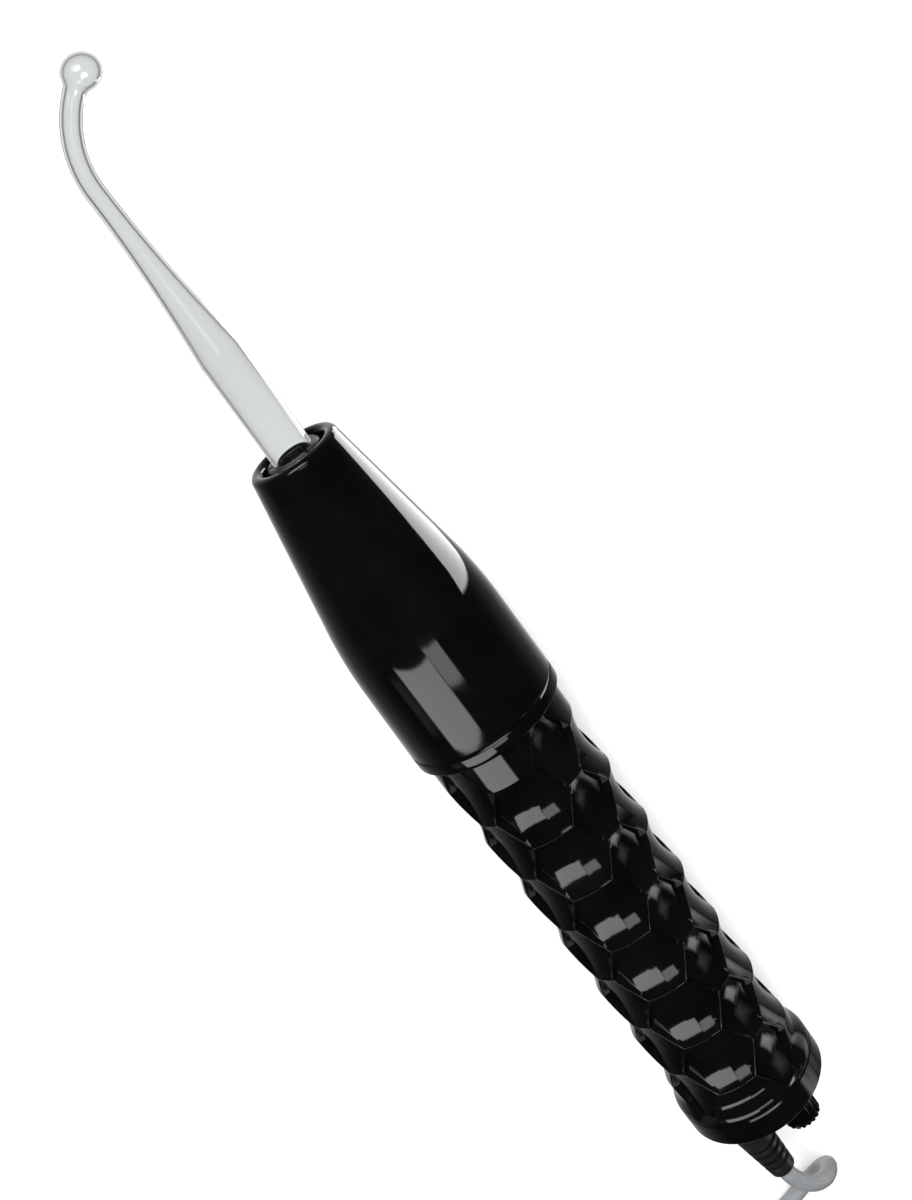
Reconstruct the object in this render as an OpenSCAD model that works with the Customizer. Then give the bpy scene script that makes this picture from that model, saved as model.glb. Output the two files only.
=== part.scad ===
// Hand-held violet ray machine: a black wand with a honeycomb grip, a tapered nose that holds a bent glass
// electrode, and an end cap with the intensity knob and the cord. The wand lies along X with its nose at +X,
// on its nose ring and its end flange. Sizes are in millimetres.

/* [Grip] */
// Diameter over the ridges of the grip
grip_d = 39.2; // [38.2:0.2:42]
// Length of one hexagonal hollow along the grip
hex_pitch = 19.7; // [18:0.1:22]
// Hollows in a full row along the grip
hex_rows = 6; // [6:1:8]
// Columns of hollows round the grip
hex_cols = 8; // [8:2:10]
// Depth of a hollow at its middle
hex_depth = 1.9; // [1:0.1:2.1]
// Width of the ridges between the hollows
ridge_w = 0.7; // [0.4:0.1:1.2]
// Bore of the grip
grip_bore_d = 31; // [30.8:0.1:32]
// Length of the smooth neck between hollows and collar
neck_len = 10; // [9:0.5:16]

/* [End cap] */
// Diameter of the end flange and the cap
flange_d = 43; // [42:0.5:48]
// Length of the flare from the flange to the hollows
flare_len = 11; // [9:0.5:16]
// Length of the cap outside the grip
cap_len = 8; // [6:0.5:12]
// Thickness of the cap's end face
cap_wall = 3; // [2:0.25:4]
// Length of the cap's spigot in the grip
cap_spigot_len = 6; // [4:0.5:8]
// Diameter of the cap screws
cap_screw_d = 2.5; // [2:0.1:3]
// Length of the cap screws
cap_screw_len = 16; // [14:0.5:18]

/* [Nose] */
// Width of the ring between grip and nose
collar_len = 4; // [3:0.5:6]
// Diameter of the ring and of the nose's base
nose_base_d = 43; // [42:0.5:48]
// Diameter where the barrel turns into the cone
shoulder_d = 41.8; // [40:0.2:43]
// Length of the barrel
barrel_len = 32; // [28:1:44]
// Length of the cone
cone_len = 52; // [46:1:60]
// Outside diameter of the mouth's rim
mouth_rim_d = 24.6; // [23:0.2:28]
// Bore of the mouth
mouth_bore_d = 17.7; // [16.8:0.1:19]
// Depth of the mouth's bore
mouth_depth = 19; // [16:0.5:22]
// Wall of the ring round the grip's spigot
collar_wall = 2.9; // [2.6:0.1:3.6]
// Step from the grip down to its spigot, which the ring sits against
spigot_step = 1; // [0.8:0.1:2]
// Length of the spigot inside the nose
nose_lap = 14; // [10:0.5:20]
// Diameter of the space behind the socket
nose_cavity_d = 34; // [31:0.5:34.5]

/* [Electrode] */
// Diameter of the electrode's stem
stem_d = 11.1; // [10:0.1:11.6]
// Length of the stem outside the mouth
stem_out = 27.6; // [20:0.2:40]
// Length of the taper from stem to tube
taper_len = 43; // [30:1:60]
// Diameter of the bent tube
tube_d = 5.2; // [4.4:0.2:6]
// Straight length of tube before the bend
tube_run = 2; // [1:0.5:10]
// Radius of the bend
tube_bend_r = 25; // [18:1:40]
// Angle of the bend
tube_bend = 62.5; // [30:0.5:90]
// Diameter of the ball at the tip
ball_d = 9.2; // [8:0.2:14]
// Thickness of the glass
glass_wall = 0.9; // [0.7:0.1:1.2]
// Length of the metal ferrule on the stem
ferrule_len = 10; // [8:0.5:14]

/* [Socket] */
// Diameter of the collet's journal
journal_d = 16; // [15.4:0.1:16.6]
// Length of the land that the journal turns in
land_len = 9.4; // [7:0.2:11]
// Diameter of the collet's flange
collet_flange_d = 21; // [19:0.2:23]
// Thickness of the collet's flange
collet_flange_t = 3.6; // [2.6:0.2:5]
// Space between the collet's fingers and the mouth
finger_gap = 1.45; // [0.6:0.05:1.6]
// Width of the cuts between the fingers
finger_cut = 1.2; // [0.8:0.1:2]
// Diameter of the seat for the retainer
seat_d = 24; // [23.4:0.2:26]
// Length of the retainer behind the collet
retainer_len = 14.8; // [13:0.2:18]
// Length of the contact spring
spring_len = 8; // [7:0.2:9]
// Wire of the contact spring
spring_wire_d = 0.6; // [0.5:0.05:0.7]
// Curls of the contact spring
spring_curls = 6; // [4:1:6]
// Diameter of the plunger's stem
plunger_d = 3; // [2.4:0.1:3.4]

/* [Knob] */
// Diameter of the knob
knob_d = 11; // [9:0.2:13]
// Length of the knob
knob_len = 13.4; // [10:0.2:16]
// Gap between knob and cap
knob_gap = 1.5; // [1.2:0.1:3]
// Ribs round the knob
knob_ribs = 18; // [12:1:22]
// Diameter of the knob's spindle
spindle_d = 4; // [3:0.1:4.4]
// Reach of the spindle past the cap's spigot
spindle_reach = 19; // [17:0.5:24]

/* [Interrupter] */
// Top of the chassis board below the axis
board_drop = 9; // [8.8:0.1:9.4]
// Thickness of the chassis board
board_t = 2; // [1.2:0.1:2.4]
// Gap between the contacts with the knob turned down
contact_gap = 0.7; // [0.65:0.05:1.5]
// Thickness of the reed
reed_t = 0.6; // [0.3:0.1:1]
// Thickness of the armature's iron
iron_t = 2; // [1:0.25:4]
// Air gap between iron and magnet core
air_gap = 1.1; // [0.8:0.1:2]
// Diameter of the magnet core
core_d = 7; // [5:0.5:7.6]
// Length of the magnet's bobbin
bobbin_len = 27; // [20:1:34]
// Diameter of the bobbin's flanges
bobbin_d = 16; // [14:0.5:16.5]
// Thickness of the iron frame's plate
plate_t = 2.5; // [1.5:0.25:4]
// Diameter of the capacitor
capacitor_d = 14; // [10:0.5:15]
// Length of the capacitor
capacitor_len = 20; // [14:1:26]

/* [Resonator] */
// Diameter of the former's tube
former_d = 20; // [16:0.5:20.4]
// Bore of the former
former_bore_d = 10; // [6:0.5:11]
// Thickness of the former's flanges
former_flange_t = 3; // [2:0.25:4]
// Thickness of the secondary winding
secondary_t = 2.9; // [1.5:0.1:3]
// Thickness of the primary winding
primary_t = 1.6; // [0.8:0.1:1.8]
// Length of the primary winding
primary_len = 16; // [10:1:24]

/* [Cord] */
// Diameter of the cord
cord_d = 5.2; // [4.6:0.1:5.4]
// Diameter of the strain relief at the cap
relief_d = 13; // [11:0.5:14]
// Diameter of the strain relief at its tip
relief_tip_d = 8; // [7:0.2:9]
// Length of the strain relief's boot
relief_len = 26.8; // [22:0.2:34]
// Grooves of the strain relief
relief_grooves = 4; // [3:1:5]
// Loops of the put-away cord, counted over its four layers
coil_turns = 7.5; // [7.5]
// Straight length of the put-away cord's runs
coil_run = 40; // [36:1:48]
// Outer radius of the loops' ends, at the cord's centre line
coil_r = 26.8; // [26:0.2:30]
// Free space between the loops
coil_space = 0.6; // [0.5:0.05:0.8]
// Thickness of the strap round the coil
tie_t = 0.8; // [0.6:0.1:1.2]
// Width of the strap
tie_w = 9; // [6:1:12]

/* [Plug] */
// Width of the plug's body
plug_w = 35.3; // [34:0.1:37]
// Thickness of the plug's body
plug_t = 13.7; // [12:0.1:15]
// Length of the plug's body
plug_len = 27; // [22:1:32]
// Diameter of a plug pin
pin_d = 4; // [3.8:0.1:4.2]
// Length of a plug pin outside the body
pin_len = 19; // [18:0.5:20]
// Distance between the pins
pin_pitch = 18.6; // [18:0.1:19]

/* [Hidden] */
$fn = 64;

// Clearances: radial running fit, end play, and space round what only lies near
fit = 0.05;
play = 0.2;
near = 0.3;
eps = 0.1;

// Stations along the wand, from the cap's outer face
w_cap = cap_len;
w_flare = w_cap + flare_len;
w_hex = w_flare + hex_rows*hex_pitch;
w_collar = w_hex + neck_len;
w_nose = w_collar + collar_len;
w_lap = w_nose + nose_lap;
w_cone = w_nose + barrel_len;
w_mouth = w_cone + cone_len;
w_land = w_mouth - mouth_depth;
w_seat = w_land - land_len;
w_collet = w_seat - play - collet_flange_t;
w_retainer1 = w_collet - play;
w_retainer0 = w_retainer1 - retainer_len;

grip_r = grip_d/2;
bore_r = grip_bore_d/2;
flange_r = flange_d/2;
base_r = nose_base_d/2;
rim_r = mouth_rim_d/2;
spigot_d = min(nose_base_d - 2*collar_wall, grip_d - 2*spigot_step);
spigot_r = spigot_d/2;
inner_r = bore_r - near;
edge = 0.5;
parting = 0.4;
flange_band = 1.2;
rim_round = 1.2;
shoulder_blend = 9;

// Hollows of the grip
hex_step = 360/hex_cols;
hex_wide_flat = hex_step*0.433;
hex_wide_mid = hex_step*0.827;
hex_turn = -11.5;
hex_squeeze = 3.3;
hex_rho = (hex_pitch*hex_pitch/4 + hex_depth*hex_depth)/(2*hex_depth);
hex_sweep = 100;

// Cap screws and small screws
cap_screw_r = (bore_r + grip_r)/2 + 0.35;
cap_head_d = 2*cap_screw_d - 0.2;
cap_head_sink = 0.2;
screw_d = 2;
screw_head_d = 3.6;
screw_head_h = 1.4;

// Knob, spindle and bushing
knob_y = -6.2;
knob_z = 5;
knob_floor = 2;
rib_cut_r = 0.6;
knob_rim = 1;
bushing_d = spindle_d + 2.4;
bushing_flange_d = bushing_d + 2.6;
bushing_flange_t = 0.8;
nut_t = 2.4;
nut_flats = bushing_d + 2.6;
w_bushing = cap_wall + nut_t + 1.2;
spindle_collar_t = 1;
w_carriage1 = w_cap + cap_spigot_len + spindle_reach + 1;
carriage_len = 10;
w_carriage0 = w_carriage1 - carriage_len;
w_knob0 = -knob_gap - knob_len;

// Interrupter
fixed_len = 2.2;
moving_len = 1;
contact_d = 3;
w_reed0 = w_carriage1 + fixed_len + contact_gap + moving_len;
w_reed1 = w_reed0 + reed_t;
w_iron1 = w_reed1 + iron_t;
w_core0 = w_iron1 + air_gap;
w_bobbin0 = w_core0 + 1.2;
w_bobbin1 = w_bobbin0 + bobbin_len;
w_plate1 = w_bobbin1 + plate_t;
w_core1 = w_plate1 + 1.5;
base_t = 2;
frame_top = -board_drop + base_t;
magnet_z = frame_top + 0.5 + bobbin_d/2;
bobbin_wall = 0.65;
bobbin_flange_t = 1.2;
winding_space = 0.1;
iron_d = 9;
post_y0 = 8;
post_y1 = 12;
post_len = 4;
reed_y0 = knob_y - 3.3;
reed_y1 = post_y0 - near;
reed_z0 = magnet_z - 4;
reed_z1 = magnet_z + 6;
clamp_t = 1.1;
reed_screw_z = [magnet_z - 0.4, magnet_z + 3.9];
frame_screw_w = [w_bobbin0 + 8, w_bobbin1 - 7];
w_capacitor0 = w_core1 + 3.5;
w_capacitor1 = w_capacitor0 + capacitor_len;
capacitor_z = -board_drop + eps + capacitor_d/2;

// Board, terminals and resonator
w_spigot = w_cap + cap_spigot_len;
w_board0 = w_spigot + near;
w_former0 = w_capacitor1 + 14.5;
w_board1 = w_former0 - play;
board_low = board_drop + board_t;
board_half = sqrt(pow(inner_r, 2) - pow(board_low, 2));
ledge_half = 5;
ledge_reach = 8;
w_ledge1 = w_board0 + 12;
board_screw_y = 3.2;
w_board_screw0 = w_board0 + 4.2;
w_board_screw1 = w_board1 - 4;
board_screw_len = board_t + 2;
w_terminal0 = w_spigot + 2;
w_terminal1 = w_terminal0 + 12;
terminal_y0 = 5.6;
terminal_y1 = 12;
terminal_top = 6;
terminal_screw_len = 5;
terminal_screw_w = [w_terminal0 + 3.5, w_terminal0 + 8.5];
w_former1 = w_retainer0;
former_r = former_d/2;
secondary_r = former_r + winding_space + secondary_t;
primary_r = secondary_r + near;
front_flange_r = secondary_r + 1;
w_primary0 = w_former0 + 8;
former_nose_d = 15.8;
former_nose_len = 5;

// Socket and electrode
lip_r = (mouth_rim_d - mouth_bore_d)/4;
finger_r = mouth_bore_d/2 - finger_gap;
w_finger = w_mouth - 0.5;
w_finger_cut = w_land + 2;
finger_cuts = 3;
stem_r = stem_d/2;
spring_pocket = 2;
spring_r = plunger_d/2 + spring_wire_d/2 + 0.6;
head_d = 2*spring_r + spring_wire_d + 1;
head_t = 2.5;
w_spring0 = w_retainer1 - spring_pocket + eps;
w_spring1 = w_spring0 + spring_len;
w_head0 = w_spring1 + eps;
w_head1 = w_head0 + head_t;
plunger_tail = 6.3;
w_plunger0 = w_retainer1 - spring_pocket - plunger_tail;
w_ferrule0 = w_head1 + play;
w_ferrule1 = w_ferrule0 + ferrule_len;
ferrule_floor = 1.5;
ferrule_r = stem_r - fit;
ferrule_cup_r = ferrule_r - 0.9;
w_glass0 = w_ferrule0 + ferrule_floor + eps;
w_stem1 = w_mouth + stem_out;
lean = 1.3;
lean_r = 60;
tube_r = tube_d/2;
taper_steps = 14;
glass_lap = 0.3;
glass_seam = 0.02;
ball_r = ball_d/2;
ball_w = w_stem1 + lean_r*sin(lean) + (taper_len + tube_run)*cos(lean)
  + tube_bend_r*(sin(lean) + sin(tube_bend - lean));

// Strain relief and its tip
relief_y = 9.5;
relief_z = 3;
relief_lean = 4;
relief_base_t = 1.5;
relief_start = 1;
relief_neck_d = 7.2;
relief_lock_d = 8.2;
relief_lock_t = 2;
groove_w = 1.5;
groove_pitch = 3;
groove_depth = 0.9;
tip_collar = 2.2;
w_tip = -relief_start - relief_len*cos(relief_lean);
tip_y = relief_y - relief_len*sin(relief_lean);

// Frame: the axis at half the largest ring, the box's middle at x = 0
axis_h = max(flange_r, base_r);
end_x = -(ball_w + ball_r + w_tip - relief_tip_d/2*sin(relief_lean))/2;

// The cord's route from the relief's tip: offsets in x and y, and heights
floor_z = 2.7;
tip = [end_x + w_tip, tip_y, axis_h + relief_z];
tip_way = [-cos(relief_lean), -sin(relief_lean), 0];
lead_curl = [[-12.2, -3.4, 23.8], [-17.2, -7.6, 20.6], [-20.6, -10.6, 14.4], [-24.8, -9.8, 8.2],
  [-30.2, -4, 3.4], [-33.8, 5.4, 2.7]];
lead_floor = [[-36, 12.2], [-42.8, 21.8], [-54, 25.4]];
lead_steps = 4;
lead_side = 10;
coil_dx = -108;
coil_dy = -1.5;
loop_rings = 24;
coil_sides = 6;
coil_step = cord_d + coil_space;
coil_layers = 4;
coil_lay = coil_turns/coil_layers;
tie_space = 0.3;
coil_z0 = 0.1 + tie_t + tie_space + cord_d/2;
coil_z1 = coil_z0 + coil_step*(coil_layers - 1);
coil_x = tip[0] + coil_dx;
coil_y = tip[1] + coil_dy;
coil_in_r = coil_r - coil_step*coil_lay;
coil_out_r = coil_r + coil_step/6;
tie_dx = 12;

// Plug on top of the coil
plug_bend_r = 16;
plug_boot_len = 18;
plug_shoulder = 6;
plug_x = coil_x + coil_run/2 - 2;
plug_y = coil_y - coil_out_r + 2*plug_bend_r;
plug_z = coil_z1 + cord_d/2 + near + plug_t/2;
plug_hold = 8;
pin_root = 0.5;
pin_root_d = pin_d - 0.6;
plug_round = 4;
plug_end = plug_boot_len + plug_shoulder + plug_len;

wire_d = 1.2;
wire_sides = 6;

// Places and turned bodies along the wand
module at(w, y = 0, z = 0)
  translate([end_x + w, y, axis_h + z])
    children();

module rod(w0, w1, d, y = 0, z = 0)
  at(w0, y, z)
    rotate([0, 90, 0])
      cylinder(d = d, h = w1 - w0);

module lathe(y = 0, z = 0)
  at(0, y, z)
    rotate([0, 90, 0])
      rotate_extrude()
        children();

module sleeve(w0, w1, r0, r1, y = 0, z = 0)
  lathe(y, z)
    translate([r0, w0])
      square([r1 - r0, w1 - w0]);

module block(w0, w1, y0, y1, z0, z1)
  at(w0, y0, z0)
    cube([w1 - w0, y1 - y0, z1 - z0]);

// Round-headed slotted screw, head at z above 0, shank below
module screw(len) {
  difference() {
    union() {
      cylinder(d = screw_head_d, h = screw_head_h);
      translate([0, 0, -len])
        cylinder(d = screw_d, h = len + eps);
    }
    translate([-screw_head_d, -0.25, screw_head_h - 0.6])
      cube([2*screw_head_d, 0.5, 1]);
  }
}

module screw_hole(len)
  translate([0, 0, -len])
    cylinder(d = screw_d + 2*fit, h = 2*len);

module rounded(a, b, r) {
  square([a - 2*r, b], center = true);
  square([a, b - 2*r], center = true);
  for (i = [-1, 1])
    for (j = [-1, 1])
      translate([i*(a/2 - r), j*(b/2 - r)])
        circle(r = r);
}

// Tube along points: rings square to the path, triangles between them
function unit(v) = v/norm(v);

function way(p, i) = unit(p[min(i + 1, len(p) - 1)] - p[max(i - 1, 0)]);

function ring(p, i, r, n, up) =
  let (t = way(p, i), s = unit(cross(t, up)), u = cross(s, t))
  [for (k = [0:n - 1]) p[i] + r*cos(360*k/n)*s + r*sin(360*k/n)*u];

module tube(p, d, n, up = [0, 0, 1]) {
  last = (len(p) - 1)*n;
  sides = [for (i = [0:len(p) - 2]) for (k = [0:n - 1])
    let (a = i*n + k, b = i*n + (k + 1)%n)
    each [[a, b, a + n], [b, b + n, a + n]]];
  start = [for (k = [1:n - 2]) [0, k + 1, k]];
  end = [for (k = [1:n - 2]) [last, last + k, last + k + 1]];
  polyhedron([for (i = [0:len(p) - 1]) each ring(p, i, d/2, n, up)], concat(sides, start, end));
}

// Smooth curve through chosen points, n steps from each to the next
function between(a, b, c, d, t) =
  (2*b + (c - a)*t + (2*a - 5*b + 4*c - d)*t*t + (3*b - a - 3*c + d)*t*t*t)/2;

function smooth(p, n) = concat(
  [for (i = [0:len(p) - 2]) for (k = [0:n - 1])
    between(p[max(i - 1, 0)], p[i], p[i + 1], p[min(i + 2, len(p) - 1)], k/n)],
  [p[len(p) - 1]]);

function ease(t) = let (q = min(max(t, 0), 1)) q*q*(3 - 2*q);

function least_gap(p, d, apart) =
  min([for (i = [0:len(p) - 1]) for (j = [i + apart:1:len(p) - 1]) norm(p[i] - p[j])]) - d;

// Nose
module nose_profile() {
  barrel = [base_r + (shoulder_d/2 - base_r)*(1 - shoulder_blend/barrel_len), w_cone - shoulder_blend];
  corner = [shoulder_d/2, w_cone];
  cone = corner + ([rim_r, w_mouth - lip_r] - corner)*shoulder_blend/(cone_len - lip_r);
  polygon(concat(
    [[0, w_nose], [base_r - edge, w_nose], [base_r, w_nose + edge]],
    [for (i = [0:8]) let (t = i/8) (1 - t)*(1 - t)*barrel + 2*t*(1 - t)*corner + t*t*cone],
    [[rim_r, w_mouth - lip_r], [0, w_mouth - lip_r]]));
  translate([rim_r - lip_r, w_mouth - lip_r])
    circle(r = lip_r);
}

module nose_cone() {
  lap_r = spigot_r + fit;
  hollow_r = nose_cavity_d/2;
  land_r = journal_d/2 + fit;
  mouth_r = mouth_bore_d/2;
  color("#151515")
    difference() {
      lathe()
        nose_profile();
      lathe()
        polygon([[0, w_nose - 1], [lap_r, w_nose - 1], [lap_r, w_lap], [hollow_r, w_lap],
          [hollow_r, w_retainer0], [seat_d/2, w_retainer0], [seat_d/2, w_seat], [land_r, w_seat],
          [land_r, w_land], [mouth_r, w_land], [mouth_r, w_mouth + 1], [0, w_mouth + 1]]);
    }
}

module nose_collar() {
  color("#181818")
    lathe()
      polygon([[spigot_r + fit, w_collar], [base_r - edge, w_collar], [base_r, w_collar + edge],
        [base_r, w_nose - edge], [base_r - edge, w_nose], [spigot_r + fit, w_nose]]);
}

// Grip
// Even columns are wide and odd ones narrow, and all draw a little towards the front and the back
function hex_angle(a) = a - hex_squeeze*sin(2*a);

// A hollow's hexagon, with walls that stand square to the grip
module hexagon(c) {
  half = (hex_pitch - ridge_w)/2;
  low = -4;
  high = 9;
  flat = c%2 == 0 ? hex_wide_flat : hex_step - hex_wide_mid;
  mid = c%2 == 0 ? hex_wide_mid : hex_step - hex_wide_flat;
  inset = asin(ridge_w/2/grip_r);
  function reach(a) = hex_angle(c*hex_step + a) - hex_angle(c*hex_step) - sign(a)*inset;
  function corner(x, a, side, t) =
    let(lean = (reach(side*flat) + reach(side*mid))/2)
      [x, -grip_r*sin(reach(side*a)) - t*sin(lean), grip_r*cos(reach(side*a)) + t*cos(lean)];
  polyhedron(
    [for (t = [low, high])
      each [corner(half, flat, 1, t), corner(0, mid, 1, t), corner(-half, flat, 1, t),
        corner(-half, flat, -1, t), corner(0, mid, -1, t), corner(half, flat, -1, t)]],
    concat([for (i = [0:5]) [i, (i + 1)%6, (i + 1)%6 + 6, i + 6]],
      [[6, 7, 10], [6, 10, 11], [7, 8, 9], [7, 9, 10], [4, 1, 0], [5, 4, 0], [3, 2, 1], [4, 3, 1]]));
}

module hollow(c)
  intersection() {
    hexagon(c);
    rotate([90, 0, 90])
      rotate([0, 0, 90 - hex_sweep/2])
        rotate_extrude(angle = hex_sweep)
          translate([grip_r - hex_depth + hex_rho, 0])
            circle(r = hex_rho);
  }

module hollows()
  for (c = [0:hex_cols - 1])
    for (k = [0:hex_rows])
      if (c%2 == 1 || k < hex_rows)
        at(w_hex - hex_pitch*(k + (c%2 == 0 ? 0.5 : 0)))
          rotate([hex_turn + hex_angle(c*hex_step), 0, 0])
            hollow(c);

module grip_shell() {
  flare = flare_len - flange_band;
  color("#151515")
    difference() {
      lathe()
        polygon(concat(
          [[bore_r, w_cap], [flange_r - parting, w_cap], [flange_r, w_cap + parting]],
          [for (i = [0:8])
            [grip_r + (flange_r - grip_r)*pow(1 - i/8, 2), w_cap + flange_band + flare*i/8]],
          [[grip_r, w_collar], [spigot_r, w_collar], [spigot_r, w_lap - edge],
            [spigot_r - edge, w_lap], [bore_r, w_lap]]));
      hollows();
      cap_screw_places()
        rod(w_cap - 1, cap_screw_len + 1, cap_screw_d + 2*fit);
    }
}

// End cap
module cap_screw_places()
  for (a = [90, 210, 330])
    translate([0, cap_screw_r*cos(a), cap_screw_r*sin(a)])
      children();

module board_screw_places(w)
  for (s = [-1, 1])
    at(w, s*board_screw_y, -board_drop)
      children();

module ledge(w0, w1)
  intersection() {
    block(w0, w1, -ledge_half, ledge_half, -bore_r, -board_low);
    rod(w0, w1, 2*inner_r);
  }

module end_cap() {
  ring_r = bore_r - 2*fit;
  ring_wall = 1.2;
  sink = cap_head_d/2 + 3*fit + cap_head_sink;
  hole_r = cap_screw_d/2 + 2*fit;
  color("#171717")
    difference() {
      union() {
        difference() {
          union() {
            lathe() {
              polygon([[0, 0], [flange_r - rim_round, 0], [flange_r - rim_round, rim_round],
                [flange_r, rim_round], [flange_r, w_cap - parting], [flange_r - parting, w_cap], [0, w_cap]]);
              translate([flange_r - rim_round, rim_round])
                circle(r = rim_round);
            }
            rod(w_cap - 1, w_spigot, 2*ring_r);
          }
          rod(cap_wall, w_spigot + 1, 2*(ring_r - ring_wall));
        }
        ledge(cap_wall - 1, w_ledge1);
      }
      rod(-1, cap_wall + 1, bushing_d + 2*fit, knob_y, knob_z);
      rod(-1, cap_wall + 1, relief_neck_d + 2*fit, relief_y, relief_z);
      cap_screw_places()
        lathe()
          polygon([[0, -eps], [sink + eps, -eps], [hole_r, sink - hole_r], [hole_r, w_cap + 1], [0, w_cap + 1]]);
      board_screw_places(w_board_screw0)
        screw_hole(board_screw_len + play);
    }
}

module cap_screws() {
  head_r = cap_head_d/2;
  shank_r = cap_screw_d/2;
  color("#2a2a2a")
    cap_screw_places()
      difference() {
        lathe()
          polygon([[0, cap_head_sink], [head_r, cap_head_sink], [shank_r, cap_head_sink + head_r - shank_r],
            [shank_r, cap_screw_len], [0, cap_screw_len]]);
        block(-1, cap_head_sink + 0.6, -head_r - 1, head_r + 1, -0.3, 0.3);
      }
}

// Knob and its spindle
module d_rod(w0, w1, d, flat)
  intersection() {
    rod(w0, w1, d, knob_y, knob_z);
    block(w0, w1, knob_y - d, knob_y + d, knob_z - d, knob_z + flat);
  }

module intensity_knob() {
  r = knob_d/2;
  w1 = -knob_gap;
  color("#161616")
    difference() {
      lathe(knob_y, knob_z)
        polygon([[0, w_knob0], [r - edge, w_knob0], [r, w_knob0 + edge], [r, w1 - 0.3], [r - 0.3, w1], [0, w1]]);
      for (k = [0:knob_ribs - 1])
        rod(w_knob0 - 1, w1 - knob_rim, 2*rib_cut_r,
          knob_y + (r + 0.1)*cos(360*k/knob_ribs), knob_z + (r + 0.1)*sin(360*k/knob_ribs));
      d_rod(w_knob0 + knob_floor - eps, w1 + 1, spindle_d + fit, spindle_d/2 - 0.5 + fit/2);
    }
}

module knob_spindle() {
  w_flat = -knob_gap + play;
  w_stop = w_bushing + eps;
  color("#b9bcc0") {
    d_rod(w_knob0 + knob_floor, w_flat, spindle_d, spindle_d/2 - 0.5);
    rod(w_flat, w_carriage1 - 1, spindle_d, knob_y, knob_z);
    rod(w_stop, w_stop + spindle_collar_t, bushing_d - 0.8, knob_y, knob_z);
  }
}

module spindle_bushing() {
  bore = spindle_d/2 + fit;
  color("#c2a45c")
    lathe(knob_y, knob_z)
      polygon([[bore, -bushing_flange_t], [bushing_flange_d/2, -bushing_flange_t], [bushing_flange_d/2, 0],
        [bushing_d/2, 0], [bushing_d/2, w_bushing], [bore, w_bushing]]);
}

module bushing_nut() {
  color("#c2a45c")
    difference() {
      at(cap_wall, knob_y, knob_z)
        rotate([0, 90, 0])
          cylinder(d = nut_flats/cos(30), h = nut_t, $fn = 6);
      rod(cap_wall - 1, cap_wall + nut_t + 1, bushing_d + 2*fit, knob_y, knob_z);
    }
}

// Strain relief
function relief_r(s) = (relief_d + (relief_tip_d - relief_d)*s/relief_len)/2;

module relief_boot() {
  first = relief_len - tip_collar - relief_grooves*groove_pitch;
  rotate([0, -90, 0])
    rotate_extrude()
      polygon(concat(
        [[0, 0], [relief_r(0), 0]],
        [for (k = [0:relief_grooves - 1]) let (a = first + k*groove_pitch, b = a + groove_w)
          each [[relief_r(a), a], [relief_r(a) - groove_depth, a],
            [relief_r(b) - groove_depth, b], [relief_r(b), b]]],
        [[relief_r(relief_len), relief_len], [0, relief_len]]));
}

module strain_relief() {
  color("#1b1b1b") {
    rod(-relief_base_t, 0, relief_d, relief_y, relief_z);
    rod(-eps, cap_wall + fit, relief_neck_d, relief_y, relief_z);
    rod(cap_wall + fit, cap_wall + relief_lock_t, relief_lock_d, relief_y, relief_z);
    at(-relief_start, relief_y, relief_z)
      rotate([0, 0, relief_lean])
        relief_boot();
  }
}

// Electrode: a chain of turned and bent lengths, each starting at x = 0 and running along +X
module bend(r, a, tube)
  rotate([a < 0 ? 180 : 0, 0, 0])
    translate([0, -r, 0])
      rotate([0, 0, 90 - abs(a)])
        rotate_extrude(angle = abs(a))
          translate([r, 0])
            circle(r = tube);

module past_bend(r, a)
  translate([0, -sign(a)*r, 0])
    rotate([0, 0, -a])
      translate([0, sign(a)*r, 0])
        children();

function taper_r(t) = tube_r + (stem_r - tube_r)*pow(1 - t, 1.8);

module glass_body(inset) {
  neck_r = ferrule_cup_r - fit - inset;
  r = stem_r - inset;
  step = w_ferrule1 + eps + inset;
  run = taper_len + tube_run;
  lathe()
    polygon([[0, w_glass0 + inset], [neck_r, w_glass0 + inset], [neck_r, step], [r, step],
      [r, w_stem1 + glass_lap], [0, w_stem1 + glass_lap]]);
  at(w_stem1) {
    bend(lean_r, -lean, r + glass_seam);
    past_bend(lean_r, -lean) {
      rotate([0, 90, 0])
        rotate_extrude()
          polygon(concat([[0, -glass_lap], [r, -glass_lap]],
            [for (i = [0:taper_steps]) [taper_r(i/taper_steps) - inset, taper_len*i/taper_steps]],
            [[tube_r - inset, run + glass_lap], [0, run + glass_lap]]));
      translate([run, 0, 0]) {
        bend(tube_bend_r, tube_bend, tube_r - inset + glass_seam);
        past_bend(tube_bend_r, tube_bend)
          sphere(r = ball_r - inset);
      }
    }
  }
}

module electrode_glass() {
  color("#e3ebee", 0.45)
    difference() {
      glass_body(0);
      glass_body(glass_wall);
    }
}

module electrode_ferrule() {
  color("#c9ccd0")
    lathe()
      polygon([[0, w_ferrule0], [ferrule_r - 0.4, w_ferrule0], [ferrule_r, w_ferrule0 + 0.4],
        [ferrule_r, w_ferrule1], [ferrule_cup_r, w_ferrule1], [ferrule_cup_r, w_ferrule0 + ferrule_floor],
        [0, w_ferrule0 + ferrule_floor]]);
}

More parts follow.
